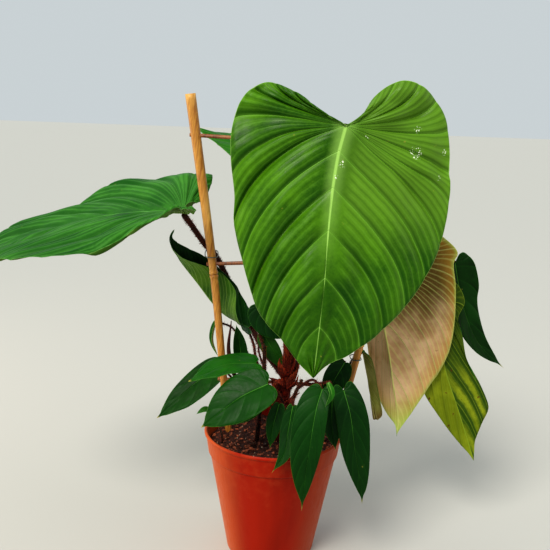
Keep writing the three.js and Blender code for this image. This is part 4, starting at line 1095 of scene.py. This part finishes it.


# Small leaves. Younger blades hang and stand among the stems and over the rim, most of them in
# the shade and dark green, with a pale midrib, a light edge and a drawn out drip tip. Each leaf's
# two greens have its shade painted in, darkest for the leaves deep in shade behind and under others.
OVAL = outline(
    0.38, 1.6,
    [(0, 0), (0.3, -0.06), (0.66, -0.04), (0.92, 0.1), (1, 0.3), (0.88, 0.52), (0.6, 0.72), (0.28, 0.87),
     (0.07, 0.94), (0, 1)],
)
LOBED = outline(
    0.38, 1.6,
    OVAL["edges"][0],
    [(0, 0), (0.4, -0.07), (0.95, -0.05), (1.4, 0.07), (1.42, 0.2), (1.12, 0.35), (0.9, 0.52),
     (0.6, 0.72), (0.28, 0.87), (0.07, 0.94), (0, 1)],
)
SMALL_LEAVES = [
    dict(name="far_right_leaf", node="leaf_far_right", shape=LOBED, veins=9, width=(20, 18),
         fold=[10, 5], roll=5, quilt=0.39, wave=1.5,
         spine=[(222, 72, 355), (230, 74, 324), (242, 74, 287), (261, 73, 251), (296, 70, 219)],
         face=[(0.2, -1, 0.2), (0.2, -1, 0.2)], greens_with_painted_shade=((2, 24, 1), (14, 60, 6))),
    dict(name="low_left_leaf", node="leaf_low_left", shape=OVAL, veins=6, width=(18, 26), fold=12,
         roll=-6, quilt=0.25, crumple=2, wave=0.8,
         spine=[(-74, 54, 214), (-106, 48, 188), (-150, 36, 147)],
         face=[(-0.3, -0.7, 0.7), (-0.4, -0.8, 0.4)], greens_with_painted_shade=((8, 48, 4), (26, 80, 14))),
    dict(name="upper_left_leaf", node="leaf_upper_left", shape=OVAL, veins=6, width=25, fold=4,
         roll=-6, quilt=0.25, crumple=2, wave=0.8,
         spine=[(-24, -20, 245), (-63, -29, 244), (-102, -38, 226)],
         face=[(0, -0.17, 1), (-0.1, -0.25, 1)], greens_with_painted_shade=((12, 68, 7), (36, 98, 20))),
    dict(name="broad_left_leaf", node="leaf_broad_left", shape=OVAL, veins=6, width=(27, 30), fold=8,
         roll=-6, quilt=0.3, crumple=1, wave=0.8,
         spine=[(-9, -62, 235), (-40, -68, 220), (-83, -75, 185)],
         face=[(-0.1, -0.65, 0.75), (-0.2, -0.8, 0.5)], greens_with_painted_shade=((6, 53, 2), (20, 72, 8))),
    dict(name="under_broad_leaf", node="leaf_under_broad", veins=6, width=12, fold=10, roll=-5,
         spine=[(-15, -56, 218), (-28, -60, 202), (-44, -62, 184)],
         face=[(0, -0.6, 0.8), (-0.1, -0.6, 0.8)], greens_with_painted_shade=((10, 55, 4), (20, 71, 11))),
    dict(name="hanging_dark_leaf", node="leaf_hanging_dark", width=(9, 10), fold=12,
         spine=[(5, -60, 211), (-1, -63, 185), (-4, -65, 158)],
         face=[(-0.1, -1, 0.2), (-0.1, -1, 0.1)], greens_with_painted_shade=((3, 45, 2), (12, 61, 7))),
    dict(name="small_front_leaf", node="leaf_front_small", width=(9, 12), fold=15,
         spine=[(20, -76, 215), (16, -84, 190), (12, -93, 165), (-1, -96, 143)],
         face=[(-0.3, -1, 0.2), (-0.5, -1, 0.2)], greens_with_painted_shade=((3, 44, 2), (14, 62, 8))),
    dict(name="front_hanging_leaf", node="leaf_front_hanging", veins=9, width=(23, 14), fold=8,
         roll=-15, quilt=0.28, wave=0.8,
         spine=[(52, -80, 238), (46, -92, 221), (40, -102, 179), (36, -104, 138), (34, -104, 102)],
         face=[(-0.1, -1, 0.6), (0, -1, 0)], greens_with_painted_shade=((3, 43, 2), (14, 63, 7))),
    dict(name="shaded_leaf", node="leaf_shaded", width=13, fold=10,
         spine=[(66, -46, 223), (67, -52, 185), (73, -56, 153)], face=[(0.2, -1, 0.2), (0.2, -1, 0.1)],
         greens_with_painted_shade=((2, 38, 2), (10, 53, 5))),
    dict(name="right_hanging_leaf", node="leaf_right_hanging", shape=OVAL, veins=9, width=(17, 20),
         fold=8, roll=-10, quilt=0.28, wave=0.8,
         spine=[(79, -48, 225), (87, -58, 200), (94, -64, 159), (104, -66, 110), (106, -66, 93)],
         face=[(0.1, -1, 0.4), (0, -1, 0)], greens_with_painted_shade=((2, 39, 2), (12, 57, 7))),
    dict(name="under_tip_leaf", node="leaf_under_tip", width=15, fold=10,
         spine=[(81, -20, 250), (67, -25, 223), (60, -28, 199)], face=[(0, -1, 0.3), (0, -1, 0.1)],
         greens_with_painted_shade=((2, 38, 2), (10, 54, 6))),
    dict(name="dark_middle_leaf", node="leaf_dark_middle", shape=OVAL, width=(20, 16), fold=10,
         quilt=0.22, spine=[(-22, 10, 309), (-11, 6, 289), (9, 2, 268)],
         face=[(-0.3, -1, 0.1), (-0.2, -1, 0.2)], greens_with_painted_shade=((3, 39, 2), (10, 56, 6))),
    dict(name="two_toned_leaf", node="leaf_two_toned", width=(12, 13), fold=[10, 40],
         spine=[(-18, 15, 272), (-3, 10, 250), (11, 6, 227)], face=[(0, -1, 0.1), (0, -1, 0.2)],
         greens_with_painted_shade=((13, 53, 6), (34, 81, 18))),
    dict(name="upright_dark_leaf", node="leaf_upright_dark", veins=6, width=9, fold=15,
         spine=[(-43, 32, 226), (-46, 31, 252), (-51, 30, 278)], face=[(0.1, -1, 0), (0.1, -1, 0)],
         greens_with_painted_shade=((5, 42, 3), (14, 59, 7))),
    dict(name="rim_leaf", node="leaf_rim_left", veins=6, width=6, fold=10,
         spine=[(-74, 4, 168), (-84, 0, 176), (-96, -4, 171)], face=[(0, -0.3, 1), (-0.2, -0.3, 1)],
         greens_with_painted_shade=((28, 75, 10), (54, 106, 26))),
]
dark_under = under_skin("dark_underside", (30, 78, 14), (58, 104, 30), (88, 128, 54))
# Painted shade: each small leaf's greens are darkened to the shade it hangs in
for leaf in SMALL_LEAVES:
    upper = upper_skin(leaf["name"] + "_upper", *leaf["greens_with_painted_shade"], (34, 98, 18), (70, 126, 40),
                       gloss=0.42, vein_show=0.14, rib_width=0.7, threads=0.05, emboss=0.3,
                       tip=(178, 168, 84))
    blade({"shape": LANCE, "veins": 7, "roll": 0, **leaf}, [upper, dark_under], columns=14)


# Stems and stalks. Rooted stems climb the ladder and bear a round stalk for each leaf, furred with
# stiff red bristles. Dry sheaths and papery scales stand on the thick stem, and a new leaf is still
# rolled in its pointed red sheath.
STEMS = [
    dict(name="main_stem", node="vine_main", bristles=15, radii=[7, 7, 7, 6.8, 6.4, 6, 5.5, 4.5],
         stem=[(8, 2, 104), (8, 2, 126), (8, 2, 148), (10, 2, 182), (14, 0, 225), (20, -2, 260),
               (27, -4, 300), (34, -5, 340), (38, -5, 375)],
         stalks=[
             (FRONT_LEAF, [(36, -5, 360), (48, 2, 415), (60, -6, 480)], [4.2, 3.2], 7),
             (LEFT_LEAF,
              [(13, 0, 218), (3, 17, 226), (-10, 36, 236), (-29, 72, 254), (-45, 90, 278), (-57, 88, 301),
               (-70, 79, 332), (-81, 63, 357), (-92, 43, 374), (-109, 31, 401)], [4, 3.4, 3.2], 11),
             (BEHIND_LEAF, [(30, -4, 320), (44, 40, 390)], [3.4, 2.8], 6),
             (TAN_LEAF, [(23, -3, 280), (56, 18, 320), (92, 17, 358)], [3.6, 3], 8),
             ("far_right_leaf", [(16, 0, 244), (70, 84, 300), (160, 100, 360)], [3.2, 2.8], 6),
             (STRIPED_LEAF, [(13, 1, 220), (60, 72, 262), (120, 92, 320), (172, 76, 348), (193, 54, 338)],
              [3.4, 2.6], 6),
         ],
         sheaths=[
             [(9, 1, 176), (5, -3, 192), (0, -6, 208), (-5, -8, 222)],
             [(12, -1, 200), (17, -4, 216), (23, -8, 231), (28, -11, 244)],
             [(16, 0, 228), (13, -4, 244), (11, -8, 258), (8, -11, 270)],
             [(8, 0, 156), (12, -5, 168), (16, -9, 178), (19, -12, 188)],
         ],
         scales=[
             [(13, -3, 204), (7, -9, 213), (0, -12, 221), (-8, -13, 225)],
             [(14, -3, 211), (9, -11, 219), (2, -16, 221), (-5, -18, 214)],
             [(12, -2, 192), (5, -10, 202), (-2, -14, 209), (-9, -14, 211)],
             [(15, -3, 219), (9, -10, 231), (4, -12, 242), (4, -13, 250)],
             [(14, -3, 208), (20, -11, 214), (25, -16, 223), (27, -17, 231)],
             [(17, -3, 228), (21, -10, 240), (22, -13, 252), (19, -14, 262)],
             [(10, -1, 172), (4, -9, 184), (0, -13, 196), (-1, -14, 206)],
             [(12, -2, 184), (18, -10, 194), (23, -14, 203), (30, -15, 208)],
             [(8, -1, 150), (3, -8, 162), (-3, -12, 172), (-4, -14, 184)],
         ]),
    dict(name="left_stem", node="vine_left", bristles=7, radii=[2.6, 2.6, 2.6, 2.4, 2.2, 1.8],
         stem=[(-20, -8, 112), (-20, -8, 129), (-20, -8, 146), (-17, -8, 190), (-14, -6, 230),
               (-15, -4, 262)],
         stalks=[
             (FOLDED_LEAF, [(-14, -6, 226), (-24, 14, 236), (-29, 44, 248)], [1.7, 1.5], 5),
             ("upper_left_leaf", [(-15, -7, 214), (-14, -17, 234)], [1.4, 1.2], 4),
             ("dark_middle_leaf", [(-15, -4, 256), (-24, 16, 284)], [1.4, 1.2], 4),
             ("two_toned_leaf", [(-14, -6, 234), (-22, 20, 250)], [1.3, 1.1], 4),
             ("upright_dark_leaf", [(-18, -8, 172), (-34, 22, 196)], [1.5, 1.2], 4),
             ("low_left_leaf", [(-19, -8, 162), (-40, 36, 184), (-60, 56, 202)], [1.5, 1.2], 4),
             ("curl_on_the_left", [(-18, -8, 182), (-30, 40, 222), (-56, 56, 264)], [1.4, 1.1], 4),
         ],
         spikes=[[(-17, -8, 192), (-46, 2, 214), (-58, 12, 246), (-56, 14, 286)]]),
    dict(name="front_stem", node="vine_front", bristles=7, radii=[2.4, 2.4, 2.4, 2.2, 2, 1.8],
         stem=[(14, -42, 112), (14, -42, 129), (14, -42, 146), (16, -44, 180), (22, -46, 215),
               (30, -48, 236)],
         stalks=[
             ("broad_left_leaf", [(17, -44, 190), (2, -50, 222)], [1.5, 1.2], 4),
             ("under_broad_leaf", [(15, -43, 165), (-2, -48, 200)], [1.3, 1.1], 4),
             ("hanging_dark_leaf", [(16, -44, 178), (10, -50, 204)], [1.3, 1.1], 4),
             ("small_front_leaf", [(19, -45, 204), (20, -62, 216)], [1.3, 1.1], 4),
             ("front_hanging_leaf", [(26, -47, 226), (42, -62, 242)], [1.6, 1.3], 4),
             ("curl_in_front", [(28, -48, 230), (50, -60, 238), (60, -80, 246)], [1, 0.9], 3),
         ]),
    dict(name="right_stem", node="vine_right", bristles=7, radii=[2.6, 2.6, 2.6, 2.4, 2.2, 1.8],
         stem=[(52, -18, 112), (52, -18, 129), (52, -18, 146), (54, -16, 180), (60, -12, 215),
               (66, -8, 240)],
         stalks=[
             ("shaded_leaf", [(54, -16, 185), (48, -30, 200), (53, -42, 220)], [1.3, 1.1], 4),
             ("right_hanging_leaf", [(56, -15, 195), (72, -30, 206)], [1.6, 1.3], 4),
             ("under_tip_leaf", [(64, -9, 234), (76, -10, 250)], [1.4, 1.2], 4),
             ("edge_on_leaf", [(64, -9, 232), (82, 8, 228), (95, 16, 244), (101, 18, 257)], [1.4, 1.2], 4),
         ]),
    dict(name="rim_stem", node="vine_rim", bristles=5, radii=[1.6, 1.6, 1.6, 1.4],
         stem=[(-62, -14, 118), (-62, -14, 131), (-62, -14, 146), (-66, -9, 158)],
         stalks=[("rim_leaf", [(-65, -10, 156), (-70, -3, 162)], [1.2, 1], 3)]),
]
SPIKE_RADII = [1.4, 1.6, 2.6, 2.8, 1.8, 0.5]
SHEATH_RADII = [4.5, 5.5, 4.5, 2.6, 0.6]
SCALE_HALF_WIDTHS = [3.2, 5.4, 5.8, 4.2, 2.0, 0.4]
SCALE_THICKNESS = 0.16
SPIKE_RINGS, SPIKE_SIDES = 70, 16
SHEATH_RINGS, SHEATH_SIDES = 40, 36
SCALE_RINGS, SCALE_SIDES = 46, 30
STEM_SIDES = 28
STEM_STEP = 1.6
STALK_SIDES = 14
STALK_STEP = 1.8
JOINT_SPACING = 27
SHEATH_BRISTLES = 9
BRISTLE_RADIUS = 0.24
BRISTLE_LENGTHS = (1.8, 4.6)
BRISTLE_ROOT = 0.25
SOIL_TOP = 139
STEM_SLOT, STALK_SLOT, SHEATH_SLOT, BRISTLE_SLOT = range(4)


def stalk_end(leaf, radius):
    """Where a stalk meets its blade: its rounded end is let into the midrib's underside."""
    spine = SmoothLine(leaf["spine"])
    heading, face = spine.heading(0.0), np.array(leaf["face"][0], float)
    face = face - heading * np.dot(face, heading)
    face /= np.linalg.norm(face)
    return spine.at(0.0) - face * (leaf.get("thick", 0.7) / 2 + leaf.get("rib", 0) * 0.6 + radius * 0.8)


def bristles_on(rng, line, radii, per_mm, first=0.0, last=1.0):
    """Fine stiff bristles standing off a rod, each a slim three sided spike rooted in it."""
    count = int(per_mm * line.length * (last - first))
    shares = rng.uniform(first, last, count)
    centres, headings = line.at(shares), line.heading(shares)
    normals = np.cross(headings, (0.31, 0.95, 0.08))
    normals /= np.linalg.norm(normals, axis=1, keepdims=True)
    crosses = np.cross(headings, normals)
    angles = rng.uniform(0, 2 * np.pi, count)[:, None]
    out = normals * np.cos(angles) + crosses * np.sin(angles)
    side = np.cross(headings, out)
    lean = out + headings * rng.normal(0.25, 0.35, (count, 1)) + side * rng.normal(0, 0.25, (count, 1))
    lean /= np.linalg.norm(lean, axis=1, keepdims=True)
    reach = rng.uniform(*BRISTLE_LENGTHS, (count, 1)) * (0.35 + 0.65 * rng.uniform(0, 1, (count, 1)))
    root = centres + out * (along(radii, shares)[:, None] - BRISTLE_ROOT)
    thirds = (0, 2 * math.pi / 3, 4 * math.pi / 3)
    corners = [root + BRISTLE_RADIUS * (headings * math.cos(turn) + side * math.sin(turn))
               for turn in thirds]
    points = np.stack(corners + [root + lean * (reach + BRISTLE_ROOT)], 1).reshape(-1, 3)
    faces = []
    for k in range(0, 4 * count, 4):
        faces += [(k, k + 1, k + 3), (k + 1, k + 2, k + 3), (k + 2, k, k + 3), (k + 2, k + 1, k)]
    shade = np.repeat(rng.uniform(0, 1, count), 4)
    return points, faces, shade


def stem_finish(name, low, high, dark):
    """Stem and stalk skin: one red at the foot, a browner one further up, with warts and fibres."""
    finish, tree, shader = new_finish(name, 0.55, Specular_IOR_Level=0.2)
    up = measured(tree, "up")
    streaks = clouds(tree, 130, 4, stretch=(1, 1, 0.4))
    fibres = clouds(tree, 520, 4, stretch=(1, 1, 0.16), roughness=0.7)
    warts = clouds(tree, 800, 3)
    reach = plus(tree, up, times(tree, reckon(tree, "SUBTRACT", streaks, 0.5), 0.8))
    tone = mixed(tree, between(tree, reach, 0.25, 0.95), paint(*low), paint(*high))
    tone = tint(tree, tone, dark, fibres, 0.42, 0.64, 0.9, 0.0)
    tone = tint(tree, tone, dark, warts, 0.5, 0.72, 0.0, 0.6)
    coat(tree, shader, tone, between(tree, warts, 0.3, 0.7, 0.5, 0.75))
    fibrous = relief(tree, shader, fibres, 0.0012, 0.9)
    relief(tree, shader, warts, 0.0006, 0.9, fibrous)
    return finish


stem_skin = stem_finish("red_stem_skin", (124, 34, 14), (142, 58, 22), (44, 12, 5))
stalk_skin = stem_finish("stalk_skin", (66, 18, 8), (82, 34, 14), (34, 9, 4))
young_stem_skin = stem_finish("young_stem_skin", (42, 20, 8), (54, 34, 14), (20, 8, 3))
sheath_skin = stem_finish("dry_sheath", (130, 34, 12), (168, 70, 28), (56, 15, 6))
bristle_skin, tree, shader = new_finish("red_bristles", 0.6)
coat(tree, shader, mixed(tree, measured(tree, "up"), paint(110, 26, 10), paint(150, 62, 28)))
leaf_named = {leaf["name"]: leaf for leaf in SMALL_LEAVES + ROLLED_LEAVES}


def even_rod(route, rings, radii, *form):
    """A rod with rings at even steps, and radii read off an evenly spaced list."""
    shares = np.linspace(0, 1, rings)
    return rod(SmoothLine(route), shares, along(radii, shares), *form)


def round_stalk(share, angle):
    return 1 + 0.03 * np.sin(2 * angle + 9 * share) + 0.02 * np.sin(4 * angle - 23 * share)


def gnarled(share, angle):
    return 1 + 0.05 * np.sin(3 * angle + 14 * share) + 0.03 * np.sin(5 * angle - 31 * share)


def ribbed(share, angle):
    return 1 + 0.07 * np.abs(np.sin(6 * angle)) + 0.1 * np.sin(angle + 7 * share)


for number, vine in enumerate(STEMS):
    rng = np.random.default_rng(40 + number)
    points, faces, finish_of_face, shades = [], [], [], []

    def join(part, slot, dimmed=1.0):
        """Adds a rod or its bristles: points, faces, and a shade for each point."""
        first = sum(len(some) for some in points)
        points.append(part[0])
        faces.extend(tuple(first + corner for corner in face) for face in part[1])
        finish_of_face.extend([slot] * len(part[1]))
        shades.append(part[2] * dimmed)

    stem = SmoothLine(vine["stem"])
    shares = np.linspace(0, 1, int(stem.length / STEM_STEP))
    rings = 0.05 * np.exp(-((np.mod(shares * stem.length, JOINT_SPACING) - 13) ** 2) / 3)
    join(rod(stem, shares, along(vine["radii"], shares) * (1 + rings), STEM_SIDES, 0.6, gnarled), STEM_SLOT)
    ground = height_share(stem, SOIL_TOP)
    join(bristles_on(rng, stem, vine["radii"], vine["bristles"], ground), BRISTLE_SLOT)
    for leaf, route, radii, per_mm in vine["stalks"]:
        leaf = leaf_named[leaf] if isinstance(leaf, str) else leaf
        stalk = SmoothLine(route + [tuple(stalk_end(leaf, radii[-1]))])
        shares = np.linspace(0, 1, max(16, int(stalk.length / STALK_STEP)))
        swell = 1 + 0.16 * np.exp(-(((1 - shares) * stalk.length / (3 * radii[-1])) ** 2))
        join(rod(stalk, shares, along(radii, shares) * swell, STALK_SIDES, 0.6, round_stalk), STALK_SLOT)
        join(bristles_on(rng, stalk, radii, per_mm, 0.02, 0.985), BRISTLE_SLOT)
    for route in vine.get("spikes", []):
        join(even_rod(route, SPIKE_RINGS, SPIKE_RADII, SPIKE_SIDES, 0.5), STALK_SLOT, 0.4)
    for route in vine.get("sheaths", []):
        join(even_rod(route, SHEATH_RINGS, SHEATH_RADII, SHEATH_SIDES, 0, ribbed), SHEATH_SLOT)
        hairs = bristles_on(rng, SmoothLine(route), SHEATH_RADII, SHEATH_BRISTLES, 0.0, 0.9)
        join(hairs, BRISTLE_SLOT)
    for order, route in enumerate(vine.get("scales", [])):
        lie = 0.7 + 0.9 * order

        def papery(share, angle):
            flat = 1 / np.sqrt(np.cos(angle - lie) ** 2 + (np.sin(angle - lie) / SCALE_THICKNESS) ** 2)
            torn = 1 + 0.16 * np.sin(31 * share + lie) * np.sin(17 * share)
            return flat * torn + 0.03 * np.sin(9 * angle)

        scale = even_rod(route, SCALE_RINGS, SCALE_HALF_WIDTHS, SCALE_SIDES, 0, papery)
        join(scale, SHEATH_SLOT, 0.8)
    stem_finishes = [young_stem_skin if number else stem_skin, stalk_skin, sheath_skin, bristle_skin]
    piece = new_piece(vine["name"], np.concatenate(points), faces, stem_finishes, finish_of_face,
                      {"up": np.concatenate(shades)})
    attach(piece, "root")
    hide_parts(vine["node"])
